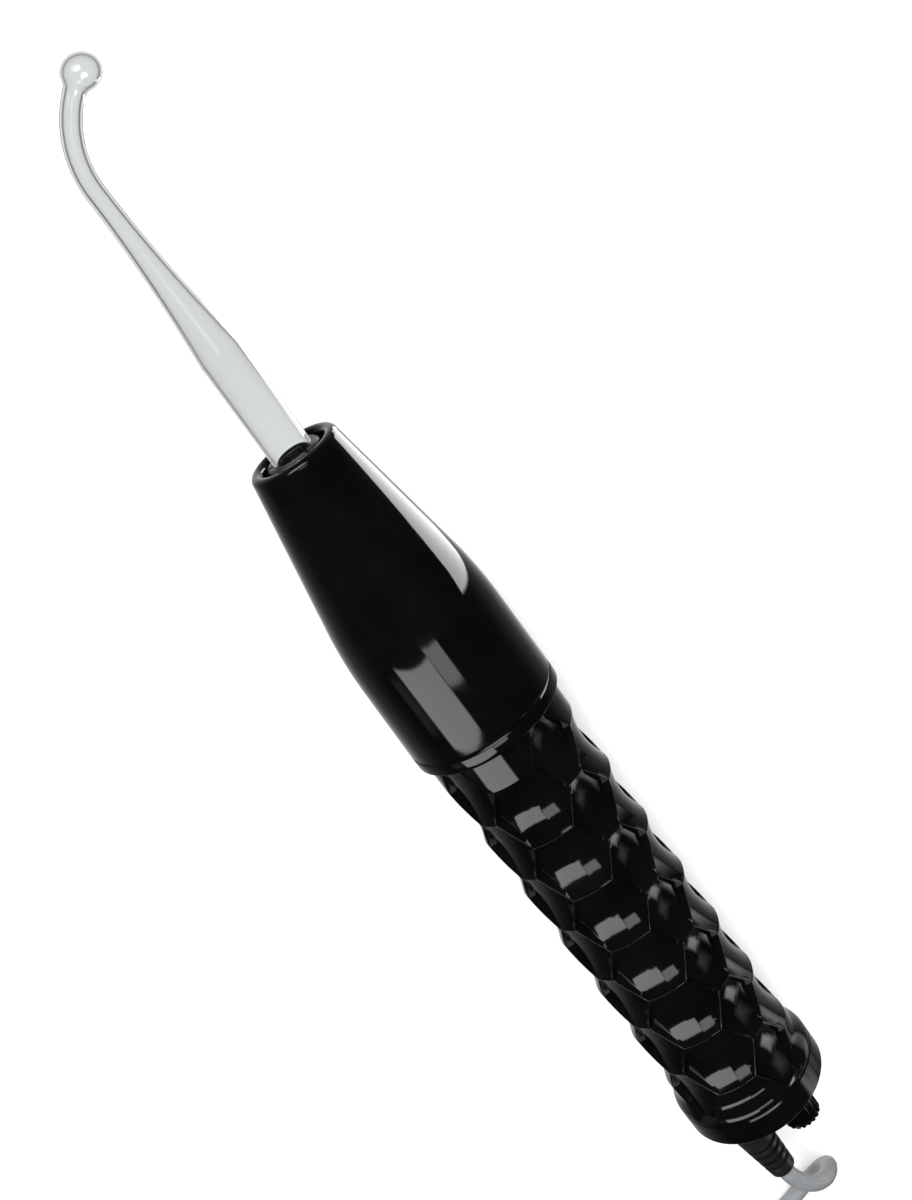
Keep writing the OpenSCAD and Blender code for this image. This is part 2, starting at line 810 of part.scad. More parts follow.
// Socket
module socket_collet() {
  hold_r = stem_r + fit;
  color("#3a3a3c")
    difference() {
      lathe()
        polygon([[hold_r, w_collet], [collet_flange_d/2, w_collet], [collet_flange_d/2, w_seat - play],
          [journal_d/2, w_seat - play], [journal_d/2, w_land], [finger_r, w_land], [finger_r, w_finger - edge],
          [finger_r - edge, w_finger], [hold_r, w_finger]]);
      for (a = [0:360/finger_cuts:359])
        at(w_finger_cut)
          rotate([a + 30, 0, 0])
            translate([0, -finger_cut/2, 0])
              cube([w_finger - w_finger_cut + 1, finger_cut, finger_r + 1]);
    }
}

module socket_retainer() {
  w_pocket = w_retainer1 - spring_pocket;
  w_nest = w_retainer0 + former_nose_len + play;
  nest_r = former_nose_d/2 + fit;
  guide_r = plunger_d/2 + fit;
  color("#ddd6c6")
    lathe()
      polygon([[nest_r, w_retainer0], [seat_d/2 - fit, w_retainer0], [seat_d/2 - fit, w_retainer1],
        [head_d/2, w_retainer1], [head_d/2, w_pocket], [guide_r, w_pocket], [guide_r, w_nest], [nest_r, w_nest]]);
}

module contact_plunger() {
  r = plunger_d/2;
  color("#c2a45c")
    lathe()
      polygon([[0, w_plunger0], [r, w_plunger0], [r, w_head0], [head_d/2, w_head0], [head_d/2, w_head1 - edge],
        [head_d/2 - edge, w_head1], [0, w_head1]]);
}

spring_rings = 8;
spring_path =
  let (run = spring_len - 3*spring_wire_d, n = spring_curls*spring_rings)
  concat(
    [[end_x + w_spring0, 0, axis_h + spring_r]],
    [for (i = [0:n]) let (a = 360*i/spring_rings)
      [end_x + w_spring0 + 1.5*spring_wire_d + run*i/n, spring_r*sin(a), axis_h + spring_r*cos(a)]],
    [[end_x + w_spring1, 0, axis_h + spring_r]]);

module contact_spring() {
  echo(spring_gap = least_gap(spring_path, spring_wire_d, 6));
  color("#b9bcc0")
    tube(spring_path, spring_wire_d, 6, [0.01, 1, 0.02]);
}

// Interrupter
module contact_carriage() {
  color("#7a4a2a")
    difference() {
      block(w_carriage0, w_carriage1, knob_y - 4.8, knob_y + 4.7, -board_drop + eps, knob_z + 4);
      rod(w_carriage0 - 1, w_carriage1 - 0.5, spindle_d + 2*fit, knob_y, knob_z);
    }
}

module fixed_contact() {
  color("#d8d8d4")
    rod(w_carriage1, w_carriage1 + fixed_len, contact_d, knob_y, knob_z);
}

module moving_contact() {
  color("#d8d8d4")
    rod(w_reed0 - moving_len, w_reed0, contact_d, knob_y, knob_z);
}

module armature_reed() {
  color("#a9adb2")
    block(w_reed0, w_reed1, reed_y0, reed_y1, reed_z0, reed_z1);
}

module armature_iron() {
  color("#6d7074")
    rod(w_reed1, w_iron1, iron_d, 0, magnet_z);
}

module reed_screw_places()
  for (z = reed_screw_z)
    at(w_reed0 - clamp_t, (post_y0 + post_y1)/2, z)
      rotate([0, -90, 0])
        children();

reed_screw_len = clamp_t + reed_t + post_len - 0.6;

module reed_clamp() {
  color("#8f9296")
    difference() {
      block(w_reed0 - clamp_t, w_reed1, post_y0, post_y1, reed_z0, reed_z1);
      reed_screw_places()
        screw_hole(reed_screw_len + play);
    }
}

module reed_screws() {
  color("#b9bcc0")
    reed_screw_places()
      screw(reed_screw_len);
}

module frame_screw_places()
  for (w = frame_screw_w)
    at(w, 0, -board_low)
      rotate([180, 0, 0])
        children();

frame_screw_len = board_t + base_t - eps;

module interrupter_frame() {
  color("#6d7074")
    difference() {
      union() {
        block(w_reed1, w_plate1, knob_y - 2.8, post_y1, -board_drop, frame_top);
        block(w_bobbin1, w_plate1, -bobbin_d/2, bobbin_d/2, frame_top - eps, magnet_z + bobbin_d/2 - 0.5);
        block(w_reed1, w_reed1 + post_len, post_y0, post_y1, frame_top - eps, reed_z1 + 1);
      }
      rod(w_bobbin1 - 1, w_plate1 + 1, core_d + 2*fit, 0, magnet_z);
      reed_screw_places()
        screw_hole(reed_screw_len + play);
      frame_screw_places()
        screw_hole(frame_screw_len + 1);
    }
}

module frame_screws() {
  color("#b9bcc0")
    frame_screw_places()
      screw(frame_screw_len);
}

module magnet_core() {
  color("#5c5f63")
    rod(w_core0, w_core1, core_d, 0, magnet_z);
}

bobbin_tube_r = core_d/2 + fit + bobbin_wall;

module magnet_bobbin() {
  r = core_d/2 + fit;
  flange = bobbin_d/2;
  t = bobbin_flange_t;
  color("#e2ddd0")
    lathe(0, magnet_z)
      polygon([[r, w_bobbin0], [flange, w_bobbin0], [flange, w_bobbin0 + t], [bobbin_tube_r, w_bobbin0 + t],
        [bobbin_tube_r, w_bobbin1 - t], [flange, w_bobbin1 - t], [flange, w_bobbin1], [r, w_bobbin1]]);
}

module magnet_winding() {
  t = bobbin_flange_t + winding_space;
  color("#9c4f22")
    sleeve(w_bobbin0 + t, w_bobbin1 - t, bobbin_tube_r + winding_space, bobbin_d/2 - 0.4, 0, magnet_z);
}

module capacitor() {
  r = capacitor_d/2;
  color("#b3812f")
    lathe(0, capacitor_z)
      polygon([[0, w_capacitor0], [r - edge, w_capacitor0], [r, w_capacitor0 + edge], [r, w_capacitor1 - edge],
        [r - edge, w_capacitor1], [0, w_capacitor1]]);
}

// Board and terminals
module chassis_board() {
  color("#8b5a2b")
    difference() {
      block(w_board0, w_board1, -board_half, board_half, -board_low, -board_drop);
      board_screw_places(w_board_screw0)
        screw_hole(board_screw_len);
      board_screw_places(w_board_screw1)
        screw_hole(board_screw_len);
      frame_screw_places()
        screw_hole(frame_screw_len);
    }
}

module board_screws() {
  color("#b9bcc0") {
    board_screw_places(w_board_screw0)
      screw(board_screw_len);
    board_screw_places(w_board_screw1)
      screw(board_screw_len);
  }
}

module terminal_screw_places()
  for (w = terminal_screw_w)
    at(w, (terminal_y0 + terminal_y1)/2, terminal_top)
      children();

module terminal_block() {
  color("#e6e2d6")
    difference() {
      block(w_terminal0, w_terminal1, terminal_y0, terminal_y1, -board_drop, terminal_top);
      terminal_screw_places()
        screw_hole(terminal_screw_len + play);
    }
}

module terminal_screws() {
  color("#c2a45c")
    terminal_screw_places()
      screw(terminal_screw_len);
}

module cord_tail() {
  color("#6a6c6e")
    rod(cap_wall + relief_lock_t, w_terminal0, cord_d, relief_y, relief_z);
}

wire_runs = [
  [[w_terminal1, 9.2, 3.5], [w_terminal1 + 2, 9.2, 3.5], [w_terminal1 + 5, 8.6, 6.5],
    [w_terminal1 + 8, 7.2, 10], [w_terminal1 + 12, 6.5, 11], [w_former0 - 2, 6.5, 11], [w_former0, 6.5, 11]],
  [[w_capacitor1, 4.5, 0], [w_capacitor1 + 2, 4.5, 0], [w_former0 - 5, 6.5, 3.5], [w_former0 - 2, 7, 4],
    [w_former0, 7, 4]],
  [[w_terminal1, 9.5, reed_z0 + 0.9], [w_reed0 - clamp_t, 9.5, reed_z0 + 0.9]]];

module hookup_wires() {
  color("#b22a24")
    at(0)
      for (p = wire_runs)
        tube(p, wire_d, wire_sides, [0.1, 1, 0]);
}

// Resonator
module resonator_former() {
  t = former_flange_t;
  bore = former_bore_d/2;
  color("#d9c9a0")
    difference() {
      union() {
        lathe()
          polygon([[bore, w_former0], [inner_r, w_former0], [inner_r, w_former0 + t], [former_r, w_former0 + t],
            [former_r, w_former1 - t], [front_flange_r, w_former1 - t], [front_flange_r, w_former1],
            [former_nose_d/2, w_former1], [former_nose_d/2, w_former1 + former_nose_len],
            [bore, w_former1 + former_nose_len]]);
        ledge(w_former0 - ledge_reach, w_former0 + 1);
      }
      board_screw_places(w_board_screw1)
        screw_hole(board_screw_len + play);
    }
}

module secondary_winding() {
  t = former_flange_t + winding_space;
  color("#8e4a24")
    sleeve(w_former0 + t, w_former1 - t, former_r + winding_space, secondary_r);
}

module primary_winding() {
  color("#b5652f")
    sleeve(w_primary0, w_primary0 + primary_len, primary_r, primary_r + primary_t);
}

// Cord
lead_end = [coil_x + coil_run/2 + cord_d, coil_y + coil_r, coil_z0];
lead_points = concat(
  [tip + cord_d*tip_way],
  [for (p = lead_curl) [tip[0] + p[0], tip[1] + p[1], p[2]]],
  [for (p = lead_floor) [tip[0] + p[0], tip[1] + p[1], floor_z]],
  [lead_end + [2*cord_d, 0, 0]]);

module cord_lead() {
  color("#7a7c7e")
    tube(concat([tip], smooth(lead_points, lead_steps), [lead_end]), cord_d, lead_side);
}

// One loop is a run, a half turn, a run and a half turn, and each layer winds inwards or outwards
function coil_radius(t) =
  let (k = min(floor(t/coil_lay), coil_layers - 1), q = t - k*coil_lay)
  coil_r - coil_step*(k%2 == 0 ? q : coil_lay - q);

function coil_rise(t, k) = k < 1 ? 0 : ease((t - k*coil_lay)*2 + 0.5) + coil_rise(t, k - 1);

function coil_point(t) =
  let (f = t - floor(t), r = coil_radius(t), half = coil_run/2,
    p = f < 1/6 ? [half - 6*f*coil_run, r]
      : f < 1/2 ? [r*cos(540*f) - half, r*sin(540*f)]
      : f < 2/3 ? [6*(f - 1/2)*coil_run - half, -r]
      : [half + r*cos(540*f - 90), r*sin(540*f - 90)])
  [coil_x + p[0], coil_y + p[1], coil_z0 + coil_step*coil_rise(t, coil_layers - 1)];

coil_loops = [for (i = [0:coil_turns*loop_rings]) coil_point(i/loop_rings)];
coil_end = coil_point(coil_turns) + [cord_d, 0, 0];

module cord_coil() {
  echo(coil_gap = least_gap(coil_loops, cord_d, loop_rings/2));
  color("#7a7c7e")
    tube(concat([lead_end], coil_loops, [coil_end]), cord_d, coil_sides);
}

module coil_tie() {
  in_y = coil_in_r - cord_d/2 - 0.7;
  out_y = coil_r + cord_d/2 + tie_space;
  wide = out_y - in_y;
  high = coil_z1 - coil_z0 + cord_d + 2*tie_space;
  color("#1c1c1c")
    translate([coil_x + tie_dx - tie_w/2, coil_y + (in_y + out_y)/2, (coil_z0 + coil_z1)/2])
      rotate([90, 0, 90])
        linear_extrude(tie_w)
          difference() {
            rounded(wide + 2*tie_t, high + 2*tie_t, 1.5);
            square([wide, high], center = true);
          }
}

// Plug
plug_run = coil_run - cord_d;
plug_way = plug_run + PI*plug_bend_r;

function plug_rise(s) = coil_z1 + (plug_z - coil_z1)*ease(s/plug_way);

plug_lead_points = concat(
  [coil_end],
  [for (i = [1:4]) let (s = plug_run*i/4)
    [coil_end[0] + s, coil_y - coil_r - (coil_out_r - coil_r)*i/4, plug_rise(s)]],
  [for (i = [1:8]) let (a = 22.5*i - 90)
    [coil_x + coil_run/2 + plug_bend_r*cos(a), plug_y - plug_bend_r + plug_bend_r*sin(a),
      plug_rise(plug_run + PI*plug_bend_r*i/8)]],
  [[plug_x, plug_y, plug_z]]);

module plug_lead() {
  color("#7a7c7e")
    tube(plug_lead_points, cord_d, lead_side);
}

module plug_place()
  translate([plug_x, plug_y, plug_z])
    rotate([0, -90, 0])
      children();

module pin_places()
  for (s = [-1, 1])
    plug_place()
      translate([0, s*pin_pitch/2, 0])
        children();

module plug_body() {
  boot_r = plug_t/2 - 0.8;
  color("#1c1c1c")
    difference() {
      plug_place() {
        cylinder(r1 = cord_d/2 + 1.2, r2 = boot_r, h = plug_boot_len);
        hull() {
          translate([0, 0, plug_boot_len - 0.01])
            cylinder(r = boot_r, h = 0.01, $fn = 32);
          translate([0, 0, plug_boot_len + plug_shoulder])
            linear_extrude(0.01, $fn = 32)
              rounded(plug_t, plug_w, plug_round);
        }
        translate([0, 0, plug_boot_len + plug_shoulder])
          linear_extrude(plug_len)
            rounded(plug_t, plug_w, plug_round);
      }
      pin_places()
        translate([0, 0, plug_end - plug_hold])
          cylinder(d = pin_root_d + fit, h = plug_hold + 1);
    }
}

module plug_pins() {
  color("#c9ccd0")
    pin_places() {
      translate([0, 0, plug_end - plug_hold + eps])
        cylinder(d = pin_root_d, h = plug_hold + pin_root);
      translate([0, 0, plug_end + pin_root])
        cylinder(d = pin_d, h = pin_len - pin_root - edge);
      translate([0, 0, plug_end + pin_len - edge])
        cylinder(d1 = pin_d, d2 = pin_d - 2*edge, h = edge);
    }
}

nose_cone();
nose_collar();
grip_shell();
end_cap();
cap_screws();
intensity_knob();
knob_spindle();
spindle_bushing();
bushing_nut();
strain_relief();
electrode_glass();
electrode_ferrule();
socket_collet();
socket_retainer();
contact_plunger();
contact_spring();
contact_carriage();
fixed_contact();
moving_contact();
armature_reed();
armature_iron();
reed_clamp();
reed_screws();
interrupter_frame();
frame_screws();
magnet_core();
magnet_bobbin();
magnet_winding();
capacitor();
chassis_board();
board_screws();
terminal_block();
terminal_screws();
cord_tail();
hookup_wires();
resonator_former();
secondary_winding();
primary_winding();
cord_lead();
cord_coil();
coil_tie();
plug_lead();
plug_body();
plug_pins();
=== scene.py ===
import math

import bpy
from mathutils import Matrix, Vector


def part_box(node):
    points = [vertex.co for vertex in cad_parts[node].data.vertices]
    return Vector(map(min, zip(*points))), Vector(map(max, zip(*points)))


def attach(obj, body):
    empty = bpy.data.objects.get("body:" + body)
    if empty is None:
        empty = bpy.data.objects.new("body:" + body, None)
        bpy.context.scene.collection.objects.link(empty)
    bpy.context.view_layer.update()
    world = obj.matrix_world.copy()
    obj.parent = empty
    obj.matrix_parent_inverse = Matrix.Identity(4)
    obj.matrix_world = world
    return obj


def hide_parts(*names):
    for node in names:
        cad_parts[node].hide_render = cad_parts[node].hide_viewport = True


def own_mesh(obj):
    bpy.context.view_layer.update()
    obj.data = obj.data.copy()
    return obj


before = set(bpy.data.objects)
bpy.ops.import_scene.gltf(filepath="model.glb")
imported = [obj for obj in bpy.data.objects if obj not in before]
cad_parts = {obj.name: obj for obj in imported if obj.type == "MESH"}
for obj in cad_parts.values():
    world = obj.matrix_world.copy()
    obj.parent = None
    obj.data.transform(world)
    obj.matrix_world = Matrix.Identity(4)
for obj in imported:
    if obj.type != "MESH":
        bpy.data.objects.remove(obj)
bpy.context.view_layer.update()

bl_info = {
    "name": "Violet ray wand",
    "version": (1, 0, 0),
    "blender": (4, 5, 0),
    "location": "View3D > Sidebar > Wand",
    "description": "Dresses the hand-held violet ray machine on its CAD frame",
    "category": "Object",
}

MM = 0.001
END_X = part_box("end_cap")[0].x
AXIS_Z = (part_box("nose_collar")[0].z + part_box("nose_collar")[1].z) / 2

# Stations along the wand in millimetres, from the cap's outer face
W_CAP, W_FLARE, W_HEX, W_COLLAR, W_NOSE = 8.0, 19.0, 137.2, 147.2, 151.2
W_LAP, W_CONE, W_RETAINER, W_SEAT, W_LAND, W_MOUTH = 165.2, 183.2, 188.0, 206.8, 216.2, 235.2
W_GLASS, W_GLASS_STEP, W_STEM = 213.3, 221.8, 262.8

# Knob and strain relief on the cap, off the wand's axis
KNOB_Y, KNOB_Z = -6.2, 5.0
RELIEF_Y, RELIEF_Z, RELIEF_LEAN = 9.5, 3.0, math.radians(4)

# The cord's route in millimetres, in the part's frame: out of the boot, down to the table and along it to
# its hank
CORD_TIP = Vector((-181.840, 7.6305, 24.5))
CORD_CURL = ((-12.2, -3.4, 23.8), (-17.2, -7.6, 20.6), (-20.6, -10.6, 14.4), (-24.8, -9.8, 8.2),
             (-30.2, -4.0, 3.4), (-33.8, 5.4, 2.7), (-36.0, 12.2, 2.7), (-42.8, 21.8, 2.7),
             (-54.0, 25.4, 2.7))
HANK_X, HANK_Y, HANK_R, HANK_RUN, HANK_STEP = -289.840, 6.1305, 26.8, 40.0, 5.8
HANK_LOOPS, HANK_LAYERS, LOOP_POINTS = 7.5, 4, 24
HANK_LOW, HANK_HIGH = 3.8, 21.2
PLUG_X, PLUG_Y, PLUG_Z, PLUG_BEND = -271.840, 10.3639, 30.95, 16.0

# A wave texture at scale 1 repeats at this distance
WAVE_PERIOD = 0.314


def linear(code):
    """Turn an sRGB hex value into linear red, green, blue and alpha."""
    parts = [int(code[i:i + 2], 16) / 255 for i in (1, 3, 5)]
    return tuple(p / 12.92 if p <= 0.04045 else ((p + 0.055) / 1.055) ** 2.4 for p in parts) + (1.0,)


def smooth_step(t):
    """Go from 0 to 1 with level ends, and stay there outside."""
    t = min(max(t, 0), 1)
    return t * t * (3 - 2 * t)


def length(name, description, default):
    """A length property, given in millimetres."""
    return bpy.props.FloatProperty(name=name, description=description, default=default * MM, unit="LENGTH",
                                   precision=5)


def colour(name, description, default):
    """A colour property, given as an sRGB hex value."""
    return bpy.props.FloatVectorProperty(name=name, description=description, default=linear(default), size=4,
                                         subtype="COLOR", min=0, max=1)


class WandSizes(bpy.types.PropertyGroup):
    """Sizes of the dressed pieces."""
    grip_d: length("Grip", "Diameter over the ridges of the grip", 39.2)
    pitch: length("Hollow length", "Length of one hexagonal hollow along the grip", 19.7)
    depth: length("Hollow depth", "Depth of a hollow at its middle", 1.9)
    flange_d: length("Flange", "Diameter of the end flange", 43)
    base_d: length("Nose base", "Diameter of the ring and of the nose's base", 43)
    shoulder_d: length("Shoulder", "Diameter where the barrel turns into the cone", 41.8)
    rim_d: length("Mouth rim", "Outside diameter of the mouth's rim", 24.6)
    mouth_d: length("Mouth bore", "Bore of the mouth", 17.7)
    stem_d: length("Glass stem", "Diameter of the electrode's stem", 11.1)
    taper: length("Glass taper", "Length of the taper from stem to tube", 43)
    tube_d: length("Glass tube", "Diameter of the bent tube", 5.2)
    bend_r: length("Tube bend", "Radius of the tube's bend", 25)
    bend: bpy.props.FloatProperty(name="Bend angle", description="Angle of the tube's bend",
                                  default=math.radians(62.5), subtype="ANGLE")
    ball_d: length("Glass ball", "Diameter of the ball at the tip", 9.2)
    wall: length("Glass wall", "Thickness of the glass", 0.9)
    knob_d: length("Knob", "Diameter of the knob", 11)
    ribs: bpy.props.IntProperty(name="Knob ribs", description="Ribs round the knob", default=18, min=6)
    relief_d: length("Boot base", "Diameter of the strain relief at the cap", 13)
    relief_tip_d: length("Boot tip", "Diameter of the strain relief at its tip", 8)
    relief_len: length("Boot length", "Length of the strain relief", 26.8)
    grooves: bpy.props.IntProperty(name="Boot grooves", description="Grooves of the strain relief", default=4,
                                   min=1)
    cord_d: length("Cord", "Diameter of the cord", 5.2)
    cord_len: length("Cord length", "Real length of the cord from boot to plug", 1820)


class WandColours(bpy.types.PropertyGroup):
    """Main colours of the finishes."""
    shell: colour("Shell", "Black of the moulded shell", "#040404")
    boot: colour("Boot", "Black of the soft boot and the plug", "#0D0E0F")
    cord: colour("Cord", "Grey of the cord's jacket", "#6C6E70")
    glass: colour("Glass", "Tint of the electrode's glass", "#F2F4F3")
    table: colour("Table", "White of the table under the wand", "#F6F6F4")


def at(w, y=0.0, z=0.0):
    """The point at station w along the wand, y and z off its axis, all in millimetres."""
    return Vector((END_X + w * MM, y * MM, AXIS_Z + z * MM))


def sizes():
    """The lengths in millimetres, by name."""
    group = bpy.context.scene.wand_sizes
    return {key: getattr(group, key) / MM for key in WandSizes.__annotations__
            if key not in ("bend", "ribs", "grooves")}


# Finishes

def fill(tree, made, sockets):
    """Set a node's sockets, or link them to another socket or to the first output of another node."""
    for name, value in sockets.items():
        if isinstance(value, bpy.types.Node):
            value = value.outputs[0]
        if isinstance(value, bpy.types.NodeSocket):
            tree.links.new(value, made.inputs[name])
        else:
            made.inputs[name].default_value = value


def node(tree, kind, sockets=None, stops=(), **settings):
    """Add one shader node, with its settings, its filled or linked sockets and its colour stops."""
    made = tree.nodes.new("ShaderNode" + kind)
    for name, value in settings.items():
        setattr(made, name, value)
    fill(tree, made, sockets or {})
    for i, (place, value) in enumerate(stops):
        stop = made.color_ramp.elements[i] if i < 2 else made.color_ramp.elements.new(place)
        stop.position, stop.color = place, value
    return made


def empty_tree(owner):
    """Give a material or a world an empty node tree."""
    owner.use_nodes = True
    owner.node_tree.nodes.clear()
    return owner.node_tree


def per(size):
    """Pattern scale for features of that size in millimetres, on coordinates in metres."""
    return 1 / (size * MM)


def finish(name, sockets):
    """Start a material with one Principled shader and these constant sockets."""
    made = bpy.data.materials.new(name)
    tree = empty_tree(made)
    shader = node(tree, "BsdfPrincipled", sockets)
    node(tree, "OutputMaterial", {"Surface": shader})
    return made, tree, shader, node(tree, "TexCoord").outputs["Object"]


def noise(tree, place, size, detail):
    """Cloudy noise with patches of that size in millimetres."""
    return node(tree, "TexNoise", {"Vector": place, "Scale": per(size), "Detail": detail})


def wave(tree, place, thread, way, **sockets):
    """Threads of that width in millimetres, side by side along one axis."""
    bands = {"Vector": place, "Scale": per(thread) * WAVE_PERIOD, **sockets}
    return node(tree, "TexWave", bands, wave_type="BANDS", bands_direction=way).outputs["Fac"]


def relief_with_painted_shade(tree, shader, height, stops, relief):
    """Let one pattern raise the shader's skin, in millimetres, and tint it between two stops by the same
    pattern: darker in the low parts as painted shade, paler on the high parts.
    """
    tint = node(tree, "ValToRGB", {"Fac": height}, stops)
    bump = node(tree, "Bump", {"Height": height, "Distance": relief * MM})
    fill(tree, shader, {"Base Color": tint, "Normal": bump})


def mottled(name, dark, pale, patch, rough, grain, relief, stretch=(1, 1, 1), **sockets):
    """A material whose colour and roughness drift over patches and whose skin has a fine grain. Dark and pale
    are sRGB hex values or linear colours, patch and grain are sizes and relief is a height in millimetres."""
    dark, pale = (linear(c) if isinstance(c, str) else c for c in (dark, pale))
    made, tree, shader, place = finish(name, {key.replace("_", " "): value for key, value in sockets.items()})
    lay = node(tree, "Mapping", {"Vector": place, "Scale": stretch})
    drift, skin = noise(tree, lay, patch, 3.0), noise(tree, lay, grain, 2.0)
    tint = node(tree, "ValToRGB", {"Fac": drift}, ((0.35, dark), (0.65, pale)))
    gloss = node(tree, "MapRange", {"Value": drift, "From Min": 0.3, "From Max": 0.7,
                                    "To Min": rough[0], "To Max": rough[1]})
    bump = node(tree, "Bump", {"Height": skin, "Strength": 1.0, "Distance": relief * MM})
    fill(tree, shader, {"Base Color": tint, "Roughness": gloss, "Normal": bump})
    return made


def wound(name, dark, pale, thread):
    """Enamelled copper wire wound close round the wand's axis: threads of that width, with a wet gleam."""
    made, tree, shader, place = finish(name, {"Metallic": 0.85, "Roughness": 0.3, "Coat Weight": 0.6,
                                              "Coat Roughness": 0.15})
    wire = wave(tree, place, thread, "X", Distortion=0.15, Detail=1.0)
    # Painted shade: the wire is tinted dark in the grooves between its turns and pale on its crests
    relief_with_painted_shade(tree, shader, wire, ((0.15, linear(dark)), (0.8, linear(pale))), thread * 0.4)
    return made


def woven_strap(thread=1.2):
    """Black nylon webbing: a plain weave, with threads drawn wide enough to show."""
    made, tree, shader, place = finish("nylon_webbing", {"Roughness": 0.75, "Sheen Weight": 0.3})
    warp, weft = (wave(tree, place, thread, way, Distortion=0.3) for way in "XY")
    cloth = node(tree, "Math", {0: warp, 1: weft}, operation="MULTIPLY")
    # Painted shade: the black webbing is tinted darker where the threads dip under each other and lighter
    # where they cross on top
    relief_with_painted_shade(tree, shader, cloth, ((0.1, linear("#0D0D0E")), (0.7, linear("#2B2C2E"))), 0.2)
    return made


def blown_glass(tint):
    """Lamp-worked clear glass, with faint draw lines along the tube that bend what shows through."""
    made, tree, shader, place = finish("blown_glass", {"Base Color": tint, "Transmission Weight": 1.0,
                                                       "IOR": 1.47, "Roughness": 0.0})
    lay = node(tree, "Mapping", {"Vector": place, "Scale": (0.12, 1, 1)})
    bump = node(tree, "Bump", {"Height": noise(tree, lay, 3, 1.0), "Distance": 0.02 * MM})
    fill(tree, shader, {"Normal": bump})
    return made


def make_finishes():
    """All finishes, by the record's slot."""
    hues = bpy.context.scene.wand_colours
    return {
        # Polished moulded ABS: near black, mirror-like, with the faint waviness that moulding leaves
        "black_abs": mottled("polished_abs", tuple(hues.shell), "#070707", 14, (0.045, 0.085), 2.4, 0.004,
                             IOR=1.52),
        # Soft PVC of the boot and plug: satin black that takes a broad, dull gleam
        "soft_pvc": mottled("satin_pvc", tuple(hues.boot), "#151617", 5, (0.32, 0.44), 0.5, 0.012, IOR=1.53),
        # Extruded PVC jacket: grey, half gloss, a little mottled
        "cord_pvc": mottled("cord_jacket_pvc", tuple(hues.cord), "#7A7C7E", 6, (0.26, 0.36), 0.8, 0.01,
                            IOR=1.53),
        "strap": woven_strap(),
        "clear_glass": blown_glass(tuple(hues.glass)),
        # Nickel plate: bright and slightly warm, with a brushed haze
        "nickel": mottled("nickel_plate", "#B4B3AE", "#CBCAC6", 3, (0.14, 0.28), 0.3, 0.003,
                          stretch=(1, 4, 4), Metallic=1.0),
        # Black oxide on steel screws: dark, oily, a little blue
        "black_screw": mottled("black_oxide_steel", "#1C1D20", "#2A2B2F", 1.5, (0.3, 0.45), 0.3, 0.006,
                               Metallic=0.9),
        # Phenolic collet: dark grey moulding, dull where the glass rubs
        "dark_collet": mottled("phenolic_collet", "#1D1E1F", "#28292B", 4, (0.3, 0.5), 0.6, 0.01),
        # Turned brass: yellow, with lathe haze
        "brass": mottled("turned_brass", "#B08D43", "#CDAA5E", 3, (0.18, 0.32), 0.25, 0.004,
                         stretch=(6, 1, 1), Metallic=1.0),
        # Silver contact face: pale, sooted by the spark
        "contact_silver": mottled("sparked_silver", "#8C8A86", "#D6D5D2", 0.9, (0.2, 0.5), 0.3, 0.01,
                                  Metallic=1.0),
        # Soft iron: grey, matt, with a bloom of oil
        "soft_iron": mottled("annealed_iron", "#5C5B59", "#777572", 4, (0.35, 0.55), 0.5, 0.01,
                             Metallic=0.95),
        # Natural nylon: milky, a little translucent at its edges
        "nylon": mottled("natural_nylon", "#D8D1C0", "#E6E0D2", 6, (0.35, 0.5), 0.7, 0.01,
                         Subsurface_Weight=0.15, Subsurface_Scale=0.002),
        # Enamelled copper wire, with painted shade: the dark value tints the grooves between the turns
        "copper_wire": wound("enamelled_copper", "#4A1F0E", "#B86A35", 0.8),
        # Film capacitor: yellow epoxy dip over the wound film, glossy
        "capacitor_film": mottled("epoxy_dip", "#B98A1E", "#D2A437", 5, (0.15, 0.25), 1.5, 0.02),
        # Paper phenolic board: brown sheet with paper fibres along it
        "board": mottled("paper_phenolic", "#4A2C17", "#6B4526", 2.5, (0.3, 0.45), 0.4, 0.006,
                         stretch=(0.25, 1, 1)),
        # Waxed paper tube: cream, drawn lengthwise, with a wax bloom
        "former": mottled("waxed_paper_tube", "#BFA573", "#D6C08F", 4, (0.4, 0.55), 0.6, 0.01,
                          stretch=(0.3, 1, 1)),
        # Red PVC hook-up wire: glossy insulation
        "wire_red": mottled("red_hookup_pvc", "#8E1712", "#B3221A", 2, (0.25, 0.35), 0.4, 0.006),
    }


# Modelling by hand

def set_mode(mode):
    """Switch the active piece to edit or object mode."""
    bpy.ops.object.mode_set(mode=mode)


def clear_selection():
    """Go back to object mode with nothing selected."""
    if bpy.context.mode != "OBJECT":
        set_mode("OBJECT")
    bpy.ops.object.select_all(action="DESELECT")


def pick(piece):
    """Select one piece alone, in object mode, and make it active."""
    clear_selection()
    piece.select_set(True)
    bpy.context.view_layer.objects.active = piece


def select_all():
    """Select the whole mesh in edit mode."""
    bpy.ops.mesh.select_all(action="SELECT")


def extrude(step):
    """Extrude what is selected in edit mode by a step in metres."""
    bpy.ops.mesh.extrude_region_move(TRANSFORM_OT_translate={"value": step})


def draw_line(name, points):
    """Draw a chain of edges through points in metres, from a plane merged to one vertex, and stay in edit
    mode."""
    clear_selection()
    bpy.ops.mesh.primitive_plane_add(size=MM, location=(0, 0, 0))
    piece = bpy.context.object
    piece.name = name
    set_mode("EDIT")
    select_all()
    bpy.ops.mesh.merge(type="CENTER")
    bpy.ops.transform.translate(value=points[0])
    for here, there in zip(points, points[1:]):
        extrude(there - here)
    return piece


def clean_mesh():
    """In edit mode: merge what lies together and turn the faces outwards."""
    bpy.ops.mesh.select_mode(type="VERT")
    select_all()
    bpy.ops.mesh.remove_doubles(threshold=2e-6)
    bpy.ops.mesh.normals_make_consistent(inside=False)


